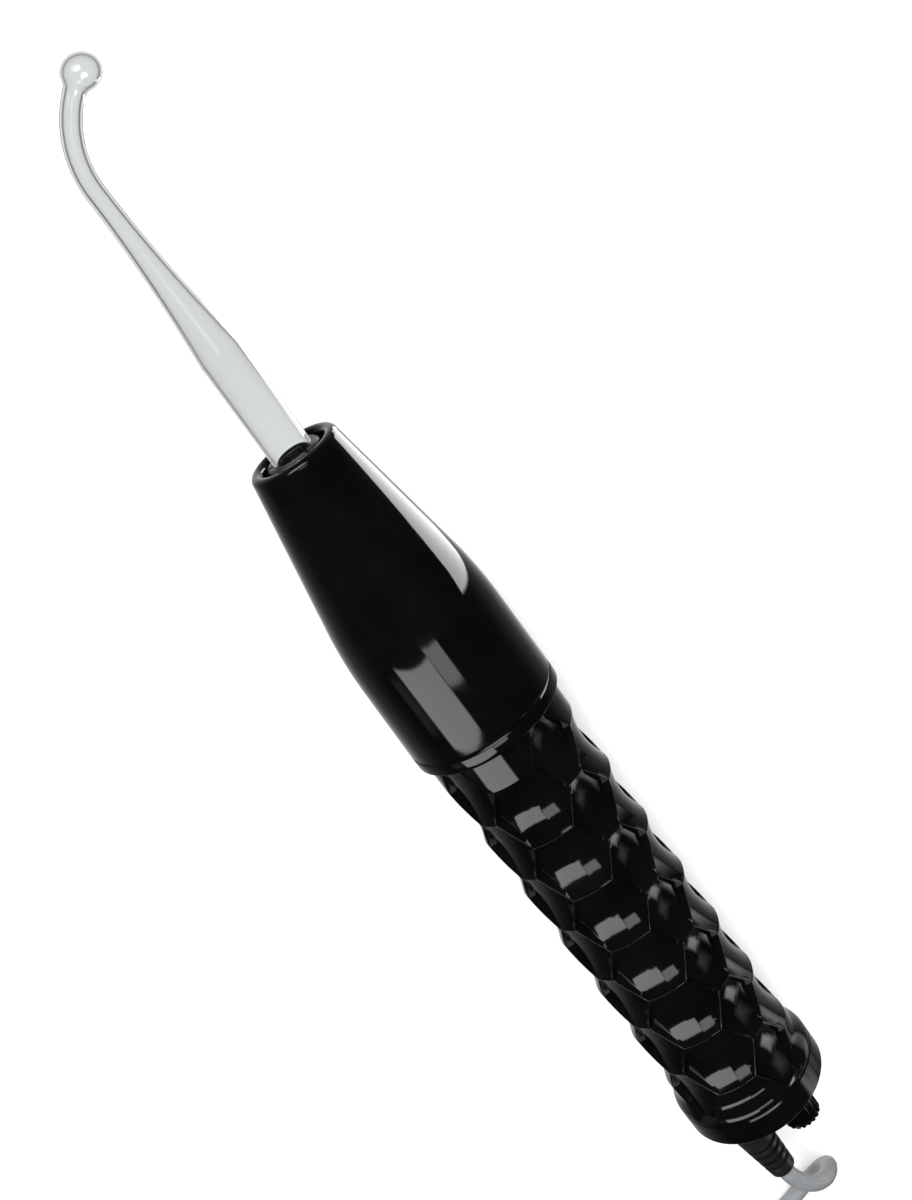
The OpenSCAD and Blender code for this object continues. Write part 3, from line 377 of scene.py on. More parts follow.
def turned(name, profile, centre, along=Vector((1, 0, 0)), steps=128):
    """Turn a closed profile of (distance along, radius) in millimetres about an axis square to Z."""
    points = [centre + along * (a * MM) + Vector((0, 0, 1)) * (r * MM) for a, r in profile]
    piece = draw_line(name, points + points[:1])
    select_all()
    bpy.ops.mesh.remove_doubles(threshold=1e-6)
    select_all()
    bpy.ops.mesh.spin(steps=steps, angle=2 * math.pi, center=centre, axis=along)
    clean_mesh()
    set_mode("OBJECT")
    return piece


def modify(piece, kind, **settings):
    """Apply one modifier with these settings to the piece."""
    pick(piece)
    bpy.ops.object.modifier_add(type=kind)
    made = piece.modifiers[-1]
    for name, value in settings.items():
        setattr(made, name, value)
    bpy.ops.object.modifier_apply(modifier=made.name)


def soften(piece, edge, segments=3, limit=40):
    """Round the piece's sharp edges by that many millimetres."""
    modify(piece, "BEVEL", width=edge * MM, segments=segments, limit_method="ANGLE",
           angle_limit=math.radians(limit))


def hand_over(piece, body, slot, *nodes, smooth=32):
    """Shade and colour a finished piece, and let it ride on its body in place of its CAD nodes."""
    pick(piece)
    if piece.type == "MESH":
        bpy.ops.object.shade_smooth_by_angle(angle=math.radians(smooth))
    piece.data.materials.clear()
    piece.data.materials.append(FINISHES[slot])
    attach(piece, body)
    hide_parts(*nodes)
    return piece


def ring_start(name, centre, radius, corners):
    """An open ring of edges about X, selected in edit mode, with its object at the origin."""
    clear_selection()
    bpy.ops.mesh.primitive_circle_add(vertices=corners, radius=radius * MM, fill_type="NOTHING",
                                      location=centre, rotation=(0, math.pi / 2, 0))
    piece = bpy.context.object
    piece.name = name
    bpy.ops.object.transform_apply(location=True, rotation=True, scale=True)
    set_mode("EDIT")
    select_all()
    return piece


def ring_next(step, centre, scale):
    """Extrude the selected ring by a step in metres, and scale it about its new centre."""
    extrude(step)
    bpy.ops.transform.resize(value=(scale, scale, scale), center_override=centre)


def select_rim(piece, test=lambda point: True):
    """Select the open edges whose two ends pass the test, and stay in edit mode."""
    set_mode("EDIT")
    bpy.ops.mesh.select_mode(type="EDGE")
    bpy.ops.mesh.select_all(action="DESELECT")
    bpy.ops.mesh.select_non_manifold(extend=False, use_wire=False, use_boundary=True, use_multi_face=False,
                                     use_non_contiguous=False, use_verts=False)
    set_mode("OBJECT")
    mesh = piece.data
    for edge in mesh.edges:
        edge.select = edge.select and all(test(mesh.vertices[i].co) for i in edge.vertices)
    ends = {i for edge in mesh.edges if edge.select for i in edge.vertices}
    for vertex in mesh.vertices:
        vertex.select = vertex.index in ends
    for face in mesh.polygons:
        face.select = False
    set_mode("EDIT")


class WAND_OT_camera(bpy.types.Operator):
    """Set the camera where the photograph was taken from"""
    bl_idname = "wand.camera"
    bl_label = "Camera"

    SENSOR, LENS, PLACE = 36, 53.32, Vector((0.1994, -0.0113, 0.4311))
    RIGHT, BACK = Vector((-0.5362, -0.8126, 0.228)), Vector((0.392, 0, 0.920))

    def execute(self, context):
        clear_selection()
        bpy.ops.object.camera_add(location=(0, 0, 0))
        camera = context.object
        camera.name = "photo_camera"
        camera.data.sensor_fit = "VERTICAL"
        camera.data.sensor_width = camera.data.sensor_height = self.SENSOR
        camera.data.lens = self.LENS
        back = self.BACK.normalized()
        right = (self.RIGHT - back * self.RIGHT.dot(back)).normalized()
        turn = Matrix((right, back.cross(right), back)).transposed().to_4x4()
        camera.matrix_world = Matrix.Translation(self.PLACE) @ turn
        context.scene.camera = camera
        return {"FINISHED"}


class WAND_OT_cord(bpy.types.Operator):
    """Lay the cord from the boot, along the table and into its hank, up to the plug"""
    bl_idname = "wand.cord"
    bl_label = "Cord"

    # Points on the last straight of the hank, and on the bend from there to the plug
    RUN_POINTS, BEND_POINTS = 4, 8
    # Steps between two points of the route, and round a quarter of the cord
    ROUTE_STEPS, ROUND_STEPS = 6, 5

    def execute(self, context):
        d = sizes()["cord_d"]
        way = Vector((-math.cos(RELIEF_LEAN), -math.sin(RELIEF_LEAN), 0))
        points = [CORD_TIP, CORD_TIP + way * d]
        points += [Vector((CORD_TIP.x + x, CORD_TIP.y + y, z)) for x, y, z in CORD_CURL]
        half, lay = HANK_RUN / 2, HANK_LOOPS / HANK_LAYERS
        end = Vector((HANK_X + half + d, HANK_Y + HANK_R, HANK_LOW))
        points += [end + Vector((2 * d, 0, 0)), end]

        def hank(t):
            """The point t loops into the hank: layers wind in and out in turn, each on the one before."""
            layer = min(int(t / lay), HANK_LAYERS - 1)
            into = t - layer * lay
            r = HANK_R - HANK_STEP * (into if layer % 2 == 0 else lay - into)
            f = t - math.floor(t)
            if f < 1 / 6:
                x, y = half - 6 * f * HANK_RUN, r
            elif f < 1 / 2:
                a = math.radians(540 * f)
                x, y = r * math.cos(a) - half, r * math.sin(a)
            elif f < 2 / 3:
                x, y = 6 * (f - 1 / 2) * HANK_RUN - half, -r
            else:
                a = math.radians(540 * f - 90)
                x, y = half + r * math.cos(a), r * math.sin(a)
            rise = sum(smooth_step((t - k * lay) * 2 + 0.5) for k in range(1, HANK_LAYERS))
            return Vector((HANK_X + x, HANK_Y + y, HANK_LOW + HANK_STEP * rise))

        points += [hank(i / LOOP_POINTS) for i in range(int(HANK_LOOPS * LOOP_POINTS) + 1)]
        points.append(hank(HANK_LOOPS) + Vector((d, 0, 0)))
        run, bend = HANK_RUN - d, math.pi * PLUG_BEND

        def climb(gone):
            """Height of the cord that far past the hank, up to the plug."""
            return HANK_HIGH + (PLUG_Z - HANK_HIGH) * smooth_step(gone / (run + bend))

        for i in range(1, self.RUN_POINTS + 1):
            gone, aside = run * i / self.RUN_POINTS, HANK_STEP / 6 * i / self.RUN_POINTS
            points.append(Vector((HANK_X - half + d + gone, HANK_Y - HANK_R - aside, climb(gone))))
        for i in range(1, self.BEND_POINTS + 1):
            a = math.radians(180 / self.BEND_POINTS * i - 90)
            points.append(Vector((HANK_X + half + PLUG_BEND * math.cos(a),
                                  PLUG_Y - PLUG_BEND + PLUG_BEND * math.sin(a),
                                  climb(run + bend * i / self.BEND_POINTS))))
        points.append(Vector((PLUG_X, PLUG_Y, PLUG_Z)))

        line = bpy.data.curves.new("cord_run", "CURVE")
        line.dimensions, line.use_fill_caps = "3D", True
        line.bevel_depth, line.bevel_resolution = d / 2 * MM, self.ROUND_STEPS
        line.resolution_u = line.render_resolution_u = self.ROUTE_STEPS
        spline = line.splines.new("BEZIER")
        spline.bezier_points.add(len(points) - 1)
        for knot, point in zip(spline.bezier_points, points):
            knot.co = point * MM
            knot.handle_left_type = knot.handle_right_type = "AUTO"
        cord = bpy.data.objects.new("cord_run", line)
        context.collection.objects.link(cord)
        hand_over(cord, "handle", "cord_pvc", "cord_lead", "cord_coil", "plug_lead")
        return {"FINISHED"}


class WAND_OT_grip(bpy.types.Operator):
    """Model one hexagonal hollow, copy it round the grip and close the grip's ends"""
    bl_idname = "wand.grip"
    bl_label = "Grip"

    # Rings of a hollow, from the middle of its ridge to its middle: scale, drop below the ridge in
    # millimetres, and how far the ring has gone down the wall to the hollow's floor
    RINGS = ((1, 0, 0), (0.993, 0.02, 0), (0.986, 0.07, 0), (0.98, 0.1, 0.06), (0.915, 0, 1), (0.83, 0, 1),
             (0.75, 0, 1), (0.6, 0, 1), (0.45, 0, 1), (0.3, 0, 1), (0.15, 0, 1), (0, 0, 1))
    COLUMNS, ROWS, FIRST_COLUMN, CELL_CUTS = 8, 6, -11.5, 16
    # Even columns of hollows are wide and odd ones narrow, in degrees, and all draw a little to the front
    # and back
    WIDE_FLAT, WIDE_MID, SQUEEZE = 19.485, 37.215, 3.3
    # Stations where the flare meets the flange's band and the grip
    FLARE_BAND, FLARE_TOP = 9.2, 15.0
    # The spigot under ring and nose, the bore, and the bevel of the flange's edge
    SEAT_R, BORE_R, EDGE = 18.6, 15.5, 0.4

    def execute(self, context):
        s = sizes()
        grip_r, flange_r, pitch, depth = s["grip_d"] / 2, s["flange_d"] / 2, s["pitch"], s["depth"]
        rho = (pitch * pitch / 4 + depth * depth) / (2 * depth)
        step = 360 / self.COLUMNS

        def ridge(w):
            """Radius over the ridges, with the flare to the flange."""
            flare = smooth_step((self.FLARE_TOP - w) / (self.FLARE_TOP - self.FLARE_BAND))
            return grip_r + (flange_r - grip_r) * flare

        def wrap(piece, column, w0):
            """Wrap a flat piece round the grip, in its column and about its station."""
            for vertex in piece.data.vertices:
                turn, x, level = vertex.co
                ring = self.RINGS[round(level)]
                floor = grip_r - depth + rho - math.sqrt(rho * rho - x * x)
                r = (ridge(w0 + x) - ring[1]) * (1 - ring[2]) + floor * ring[2]
                bare = step * column + turn
                a = math.radians(self.FIRST_COLUMN + bare - self.SQUEEZE * math.sin(math.radians(2 * bare)))
                vertex.co = at(w0 + x, -r * math.sin(a), r * math.cos(a))

        def hexagon(flat, mid):
            """One hollow laid out flat: degrees across it, millimetres along it and each ring's number."""
            clear_selection()
            bpy.ops.mesh.primitive_circle_add(vertices=6, radius=1, fill_type="NOTHING", location=(0, 0, 0))
            cell = context.object
            corners = ((flat, pitch / 2), (mid, 0), (flat, -pitch / 2),
                       (-flat, -pitch / 2), (-mid, 0), (-flat, pitch / 2))
            for vertex, corner in zip(cell.data.vertices, corners):
                vertex.co = (*corner, 0)
            set_mode("EDIT")
            select_all()
            bpy.ops.mesh.subdivide(number_cuts=self.CELL_CUTS - 1)
            for (last, *_), (now, *_) in zip(self.RINGS, self.RINGS[1:]):
                extrude((0, 0, 1))
                if now:
                    bpy.ops.transform.resize(value=(now / last, now / last, 1), center_override=(0, 0, 0))
                else:
                    bpy.ops.mesh.merge(type="CENTER")
            set_mode("OBJECT")
            return cell

        def land(way):
            """The ground between two narrow hollows at one end of the grip, laid out flat."""
            clear_selection()
            bpy.ops.mesh.primitive_grid_add(x_subdivisions=self.CELL_CUTS, y_subdivisions=self.CELL_CUTS,
                                            size=2, location=(0, 0, 0))
            ground = context.object
            for vertex in ground.data.vertices:
                t = (vertex.co.y + 1) / 2
                across = self.WIDE_FLAT + (self.WIDE_MID - self.WIDE_FLAT) * t
                vertex.co = (vertex.co.x * across, way * pitch / 2 * t, 0)
            return ground

        def carry_on(rings):
            """Extrude the selected rim from the first of the rings, (station, radius), to the others."""
            for (w0, r0), (w1, r1) in zip(rings, rings[1:]):
                extrude(((w1 - w0) * MM, 0, 0))
                bpy.ops.transform.resize(value=(1, r1 / r0, r1 / r0), center_override=at(0))

        cells = (hexagon(self.WIDE_FLAT, self.WIDE_MID),
                 hexagon(step - self.WIDE_MID, step - self.WIDE_FLAT))
        pieces = []
        for column in range(self.COLUMNS):
            odd = column % 2
            for k in range(self.ROWS + odd):
                copy = cells[odd].copy()
                copy.data = cells[odd].data.copy()
                context.collection.objects.link(copy)
                wrap(copy, column, W_HEX - pitch * (k + (0 if odd else 0.5)))
                pieces.append(copy)
            if odd:
                continue
            for w0, way in ((W_HEX, 1), (W_FLARE, -1)):
                pieces.append(land(way))
                wrap(pieces[-1], column, w0)
        for cell in cells:
            bpy.data.objects.remove(cell)
        clear_selection()
        for piece in pieces:
            piece.select_set(True)
        grip = context.view_layer.objects.active = pieces[0]
        bpy.ops.object.join()
        grip.name = "grip_moulding"
        set_mode("EDIT")
        clean_mesh()
        neck, end = W_HEX + pitch / 2, W_FLARE - pitch / 2
        select_rim(grip, lambda point: point.x > at(neck - 1).x)
        carry_on(((neck, grip_r), (W_COLLAR, grip_r), (W_COLLAR, self.SEAT_R), (W_LAP, self.SEAT_R),
                  (W_LAP, self.BORE_R)))
        select_rim(grip, lambda point: point.x < at(end + 1).x)
        carry_on(((end, flange_r), (W_CAP + self.EDGE, flange_r), (W_CAP, flange_r - self.EDGE),
                  (W_CAP, self.BORE_R)))
        select_rim(grip)
        bpy.ops.mesh.bridge_edge_loops()
        clean_mesh()
        hand_over(grip, "handle", "black_abs", "grip_shell", smooth=38)
        return {"FINISHED"}


class WAND_OT_nose(bpy.types.Operator):
    """Turn the nose with its rounded mouth, and the ring behind it"""
    bl_idname = "wand.nose"
    bl_label = "Nose and ring"

    # Length of the blend on each side of the shoulder, and the bevels at base and ring
    BLEND, EDGE, SOFT_EDGE = 9.0, 0.5, 0.15
    # Bores, from the spigot's seat to the land behind the mouth
    SEAT_R, LAP_R, POCKET_R, LAND_R = 18.65, 17, 12, 8.05
    ARC_STEPS, TURN_STEPS = 24, 160

    def execute(self, context):
        s, bevel, seat, blend = sizes(), self.EDGE, self.SEAT_R, self.BLEND
        base, shoulder, rim, bore = (s[key] / 2 for key in ("base_d", "shoulder_d", "rim_d", "mouth_d"))
        lip = (rim - bore) / 2
        start = Vector((W_CONE - blend, base + (shoulder - base) * (1 - blend / (W_CONE - W_NOSE))))
        corner, edge = Vector((W_CONE, shoulder)), Vector((W_MOUTH - lip, rim))
        stop = corner + (edge - corner) * (blend / (edge.x - W_CONE))
        steps = [i / self.ARC_STEPS for i in range(self.ARC_STEPS + 1)]
        profile = [(W_NOSE, base - bevel), (W_NOSE + bevel, base)]
        profile += [tuple(start * (1 - t) ** 2 + corner * 2 * t * (1 - t) + stop * t * t) for t in steps]
        profile += [(edge.x + lip * math.sin(math.pi * t), rim - lip + lip * math.cos(math.pi * t))
                    for t in steps]
        profile += [(W_LAND, bore), (W_LAND, self.LAND_R), (W_SEAT, self.LAND_R), (W_SEAT, self.POCKET_R),
                    (W_RETAINER, self.POCKET_R), (W_RETAINER, self.LAP_R), (W_LAP, self.LAP_R),
                    (W_LAP, seat), (W_NOSE, seat)]
        band = [(W_COLLAR, seat), (W_COLLAR, base - bevel), (W_COLLAR + bevel, base), (W_NOSE - bevel, base),
                (W_NOSE, base - bevel), (W_NOSE, seat)]
        for name, outline, part in (("nose_moulding", profile, "nose_cone"),
                                    ("ring_moulding", band, "nose_collar")):
            piece = turned(name, outline, at(0), steps=self.TURN_STEPS)
            soften(piece, self.SOFT_EDGE)
            hand_over(piece, "handle", "black_abs", part)
        return {"FINISHED"}


class WAND_OT_glass(bpy.types.Operator):
    """Draw the electrode's glass: stem, taper, bent tube and ball, hollow inside"""
    bl_idname = "wand.glass"
    bl_label = "Glass electrode"

    CORNERS, STEPS_PER_RADIAN = 48, 28
    # The ferrule's neck, its last ring before the step, and the step up to the stem
    NECK_R, NECK_END, STEP = 4.55, 0.4, 0.6
    # The slight turn where the taper starts, the taper's form, and the straight after it
    LEAN, LEAN_R = math.radians(1.3), 60.0
    TAPER_RINGS, TAPER_POWER, STRAIGHT = 24, 1.8, 2
    # The tube ends this far before the ball's centre, where the ball starts at this angle
    BALL_NECK, BALL_FROM, BALL_RINGS = 4.6, 37, 17

    def execute(self, context):
        s = sizes()
        stem, tube, ball, bend_r = s["stem_d"] / 2, s["tube_d"] / 2, s["ball_d"] / 2, s["bend_r"]
        bend, lean = context.scene.wand_sizes.bend, self.LEAN
        here, heading = at(W_GLASS), 0.0
        glass = ring_start("glass_electrode", here, self.NECK_R, self.CORNERS)

        def go(there, scale=1):
            """Extrude the selected ring to a new centre and scale it there."""
            nonlocal here
            ring_next(there - here, there, scale)
            here = there

        def sweep(angle, radius):
            """Spin the selected ring about Z, to +Y for a positive angle."""
            nonlocal here, heading
            side = Vector((-math.sin(heading), math.cos(heading), 0)) * (math.copysign(radius, angle) * MM)
            pivot = here + side
            bpy.ops.mesh.spin(steps=max(2, round(abs(angle) * self.STEPS_PER_RADIAN)), angle=-angle,
                              center=pivot, axis=(0, 0, 1))
            heading += angle
            here = pivot - Matrix.Rotation(angle, 3, "Z") @ side

        go(at(W_GLASS_STEP - self.NECK_END))
        go(at(W_GLASS_STEP))
        go(at(W_GLASS_STEP + self.STEP), stem / self.NECK_R)
        go(at(W_GLASS_STEP + 2 * self.STEP))
        go(at(W_STEM))
        sweep(lean, self.LEAN_R)
        along = Vector((math.cos(lean), math.sin(lean), 0))
        root, last = here.copy(), stem
        for i in range(1, self.TAPER_RINGS + 1):
            r = tube + (stem - tube) * (1 - i / self.TAPER_RINGS) ** self.TAPER_POWER
            go(root + along * (s["taper"] * i / self.TAPER_RINGS * MM), r / last)
            last = r
        go(here + along * (self.STRAIGHT * MM))
        pivot = here + Vector((math.sin(heading), -math.cos(heading), 0)) * (bend_r * MM)
        centre = pivot + Matrix.Rotation(-bend, 3, "Z") @ (here - pivot)
        sweep(-(bend - self.BALL_NECK / bend_r), bend_r)
        out, last = (centre - here).normalized(), tube
        for i in range(self.BALL_RINGS):
            a = math.radians(self.BALL_FROM + (180 - self.BALL_FROM) * i / self.BALL_RINGS)
            r = ball * math.sin(a)
            go(centre - out * (ball * math.cos(a) * MM), r / last)
            last = r
        extrude(centre + out * (ball * MM) - here)
        bpy.ops.mesh.merge(type="CENTER")
        select_rim(glass)
        bpy.ops.mesh.edge_face_add()
        clean_mesh()
        modify(glass, "SOLIDIFY", thickness=s["wall"] * MM, offset=-1)
        hand_over(glass, "electrode", "clear_glass", "electrode_glass", smooth=60)
        return {"FINISHED"}


class WAND_OT_knob(bpy.types.Operator):
    """Shape the ribbed intensity knob"""
    bl_idname = "wand.knob"
    bl_label = "Intensity knob"

    # Stations of the ribs' ends
    FRONT, BACK = -14.4, -2.5
    # The dished face, from the rim inwards: station and share of the rim's size
    FACE = ((-14.7, 0.965), (-14.9, 0.92), (-14.9, 0.8), (-14.7, 0.72), (-14.65, 0.4))
    # The plain foot: stations from and to, and scale on the way
    FOOT = ((-2.5, -1.8, 1), (-1.8, -1.5, 0.945), (-1.5, -1.5, 0.4))
    # Radius of the flutes between the ribs, and how far outside the knob their centres lie
    FLUTE_R, FLUTE_OUT = 0.6, 0.1

    def execute(self, context):
        r, ribs = sizes()["knob_d"] / 2, context.scene.wand_sizes.ribs
        cut, off = self.FLUTE_R, r + self.FLUTE_OUT
        reach = math.degrees(math.asin(cut / off))
        marks = [-180 / ribs, -8, -reach, -5.2, -3, 0, 3, 5.2, reach, 8]
        edge = []
        for k in range(ribs):
            for mark in marks:
                a = math.radians(mark)
                dip = off * math.cos(a) - math.sqrt(max(cut * cut - (off * math.sin(a)) ** 2, 0))
                edge.append((math.radians(360 * k / ribs + mark), dip if abs(mark) <= reach else r))
        knob = ring_start("knob_moulding", at(self.FRONT, KNOB_Y, KNOB_Z), r, len(edge))
        set_mode("OBJECT")
        for vertex, (a, e) in zip(knob.data.vertices, edge):
            vertex.co = at(self.FRONT, KNOB_Y + e * math.cos(a), KNOB_Z + e * math.sin(a))
        set_mode("EDIT")
        select_all()
        w, last = self.FRONT, 1.0
        for there, scale in self.FACE:
            ring_next(((there - w) * MM, 0, 0), at(there, KNOB_Y, KNOB_Z), scale / last)
            w, last = there, scale
        extrude((0, 0, 0))
        bpy.ops.mesh.merge(type="CENTER")
        select_rim(knob)
        extrude(((self.BACK - self.FRONT) * MM, 0, 0))
        extrude((0, 0, 0))
        set_mode("OBJECT")
        centre = at(self.BACK, KNOB_Y, KNOB_Z)
        for vertex in knob.data.vertices:
            if vertex.select:
                arm = vertex.co - centre
                vertex.co = centre + arm * (r * MM / arm.length)
        set_mode("EDIT")
        for w0, w1, scale in self.FOOT:
            ring_next(((w1 - w0) * MM, 0, 0), at(w1, KNOB_Y, KNOB_Z), scale)
        clean_mesh()
        hand_over(knob, "knob", "black_abs", "intensity_knob", smooth=36)
        return {"FINISHED"}


class WAND_OT_boot(bpy.types.Operator):
    """Turn the grooved strain relief and join it to its foot on the cap"""
    bl_idname = "wand.boot"
    bl_label = "Strain relief"

    # Grooves in millimetres, and the plain collar after the last one
    PITCH, WIDE, DEEP, COLLAR = 3.0, 1.5, 0.9, 2.2
    # The foot on the cap, and its neck through it
    FOOT_LEN, NECK_R, NECK_LEN = 1.5, 3.6, 3
    TURN_STEPS, SOFT_EDGE = 96, 0.22

    def execute(self, context):
        s = sizes()
        long, base, tip = s["relief_len"], s["relief_d"] / 2, s["relief_tip_d"] / 2
        grooves = context.scene.wand_sizes.grooves
        along = Vector((-math.cos(RELIEF_LEAN), -math.sin(RELIEF_LEAN), 0))

        def radius(a):
            """Radius of the boot that far from its base."""
            return base + (tip - base) * a / long

        first = long - self.COLLAR - grooves * self.PITCH
        profile = [(0, 0), (0, base), (first * 0.5, radius(first * 0.5))]
        for k in range(grooves):
            a = first + k * self.PITCH
            b = a + self.WIDE
            profile += [(a, radius(a)), (a, radius(a) - self.DEEP),
                        (b, radius(b) - self.DEEP), (b, radius(b))]
        profile += [(long, tip), (long, 0)]
        boot = turned("boot_moulding", profile, at(-1, RELIEF_Y, RELIEF_Z), along, self.TURN_STEPS)
        foot = turned("boot_foot", [(-self.FOOT_LEN, 0), (-self.FOOT_LEN, base), (0, base), (0, self.NECK_R),
                                    (self.NECK_LEN, self.NECK_R), (self.NECK_LEN, 0)],
                      at(0, RELIEF_Y, RELIEF_Z), steps=self.TURN_STEPS)
        modify(boot, "BOOLEAN", operation="UNION", object=foot, solver="EXACT")
        bpy.data.objects.remove(foot)
        soften(boot, self.SOFT_EDGE)
        hand_over(boot, "handle", "soft_pvc", "strain_relief")
        return {"FINISHED"}


class WAND_OT_plug(bpy.types.Operator):
    bl_idname = "wand.plug"
    bl_label = "Plug and strap"

    CORNERS = 64
    # The plug's boot: radius at the cord and at the body, its rounded start, length, and its grooves
    CORD_R, BOOT_R, START, BOOT_LEN = 3.8, 6.05, (0.4, 0.3), 18
    GROOVES, FIRST_GROOVE, GROOVE_PITCH = 4, 3, 2.8
    # Rings of one groove: distance along it, and change of radius
    GROOVE = ((0, 0), (0.2, -0.6), (1.2, -0.5), (1.4, 0.15))
    # Rings of shoulder and body: distance from the cord, change of radius, share of the block
    SHOULDER = ((18, 0, 0), (19, 0.1, 0.06), (21, 0, 0.35), (23, 0, 0.8), (24, 0, 0.96), (25, 0, 1),
                (49.6, 0, 1), (50.6, 0, 0.985), (51, 0, 0.94))
    BODY_WIDE, BODY_THICK, BODY_ROUND = 35.3, 13.7, 4.0
    # The strap: thickness, the share of it that is solid, the turn at its corners and its soft edge
    STRAP_THICK, STRAP_SOLID, STRAP_TURN, STRAP_EDGE = 0.8, 0.96, 1.4, 0.15
    # Where it starts on top, where it rises to lap over its start, and where it ends
    STRAP_START, STRAP_LIFT, STRAP_END = 12, 16, 2

    def plug_ring(self, x, r, share):
        """Points round the plug's axis, from a circle (share 0) to the body's rounded block (share 1)."""
        points = []
        flat, wide = self.BODY_THICK / 2 - self.BODY_ROUND, self.BODY_WIDE / 2 - self.BODY_ROUND
        for i in range(self.CORNERS):
            a = 2 * math.pi * (i + 0.5) / self.CORNERS
            up, side = math.cos(a), math.sin(a)
            disc = Vector((x, PLUG_Y + r * side, PLUG_Z + r * up)) * MM
            block = Vector((x, PLUG_Y + (math.copysign(wide, side) + self.BODY_ROUND * side),
                            PLUG_Z + (math.copysign(flat, up) + self.BODY_ROUND * up))) * MM
            points.append(disc.lerp(block, share))
        return points

    def make_plug(self):
        """Draw the plug ring by ring, from the cord to the end of its body."""
        ahead, out = self.START
        rings = [(0, self.CORD_R, 0), (ahead, self.CORD_R + out, 0)]
        for k in range(self.GROOVES):
            x = self.FIRST_GROOVE + self.GROOVE_PITCH * k
            r = self.CORD_R + (self.BOOT_R - self.CORD_R) * x / self.BOOT_LEN
            rings += [(x + ahead, r + out, 0) for ahead, out in self.GROOVE]
        rings += [(x, self.BOOT_R + out, share) for x, out, share in self.SHOULDER]
        plug = ring_start("plug_moulding", Vector((PLUG_X, PLUG_Y, PLUG_Z)) * MM, self.CORD_R, self.CORNERS)
        set_mode("OBJECT")
        for i, (x, r, share) in enumerate(rings):
            if i:
                set_mode("EDIT")
                extrude((-MM, 0, 0))
                set_mode("OBJECT")
            chosen = [vertex for vertex in plug.data.vertices if vertex.select]
            for vertex, point in zip(chosen, self.plug_ring(PLUG_X - x, r, share)):
                vertex.co = point
        set_mode("EDIT")
        bpy.ops.mesh.edge_face_add()
        select_rim(plug)
        bpy.ops.mesh.edge_face_add()
        clean_mesh()
        return hand_over(plug, "handle", "soft_pvc", "plug_body", smooth=40)

    def make_strap(self):
        """Lead the strap once round one side of the hank, and lap it over itself on top."""
        low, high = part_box("coil_tie")
        thick, turn_r = self.STRAP_THICK * MM, self.STRAP_TURN * MM
        half = thick / 2
        y0, y1, z0, z1 = low.y + half, high.y - half, low.z + half, high.z - half

        def on_top(off, lift=0.0):
            """The point on the hank's top that many millimetres from the strap's first side."""
            return Vector((low.x, y0 + off * MM, z1 + lift))

        path = [on_top(self.STRAP_START)]
        for cy, cz, a0 in ((y0 + turn_r, z1 - turn_r, 90), (y0 + turn_r, z0 + turn_r, 180),
                           (y1 - turn_r, z0 + turn_r, 270), (y1 - turn_r, z1 - turn_r, 0)):
            for i in range(7):
                a = math.radians(a0 + 15 * i)
                path.append(Vector((low.x, cy + turn_r * math.cos(a), cz + turn_r * math.sin(a))))
        path += [on_top(self.STRAP_LIFT), on_top(self.STRAP_START, thick), on_top(self.STRAP_END, thick)]
        strap = draw_line("strap_webbing", path)
        select_all()
        extrude((high.x - low.x, 0, 0))
        select_all()
        bpy.ops.mesh.normals_make_consistent(inside=False)
        modify(strap, "SOLIDIFY", thickness=thick * self.STRAP_SOLID, offset=0)
        soften(strap, self.STRAP_EDGE, 2)
        return hand_over(strap, "handle", "strap", "coil_tie", smooth=50)

    def execute(self, context):
        plug, strap = self.make_plug(), self.make_strap()
        return {"FINISHED"}


class WAND_OT_inside(bpy.types.Operator):
    """Give every CAD node that stays its own finish, and give the contact spring a mesh of its own"""
    bl_idname = "wand.inside"
    bl_label = "Kept parts"

    def execute(self, context):
        for name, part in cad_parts.items():
            for place in part.material_slots:
                slot = place.material.name.split(".")[0]
                if slot not in FINISHES:
                    raise RuntimeError(f"{name} has no finish for {slot}")
                place.material = FINISHES[slot]
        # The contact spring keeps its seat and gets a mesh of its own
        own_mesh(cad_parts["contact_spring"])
        return {"FINISHED"}


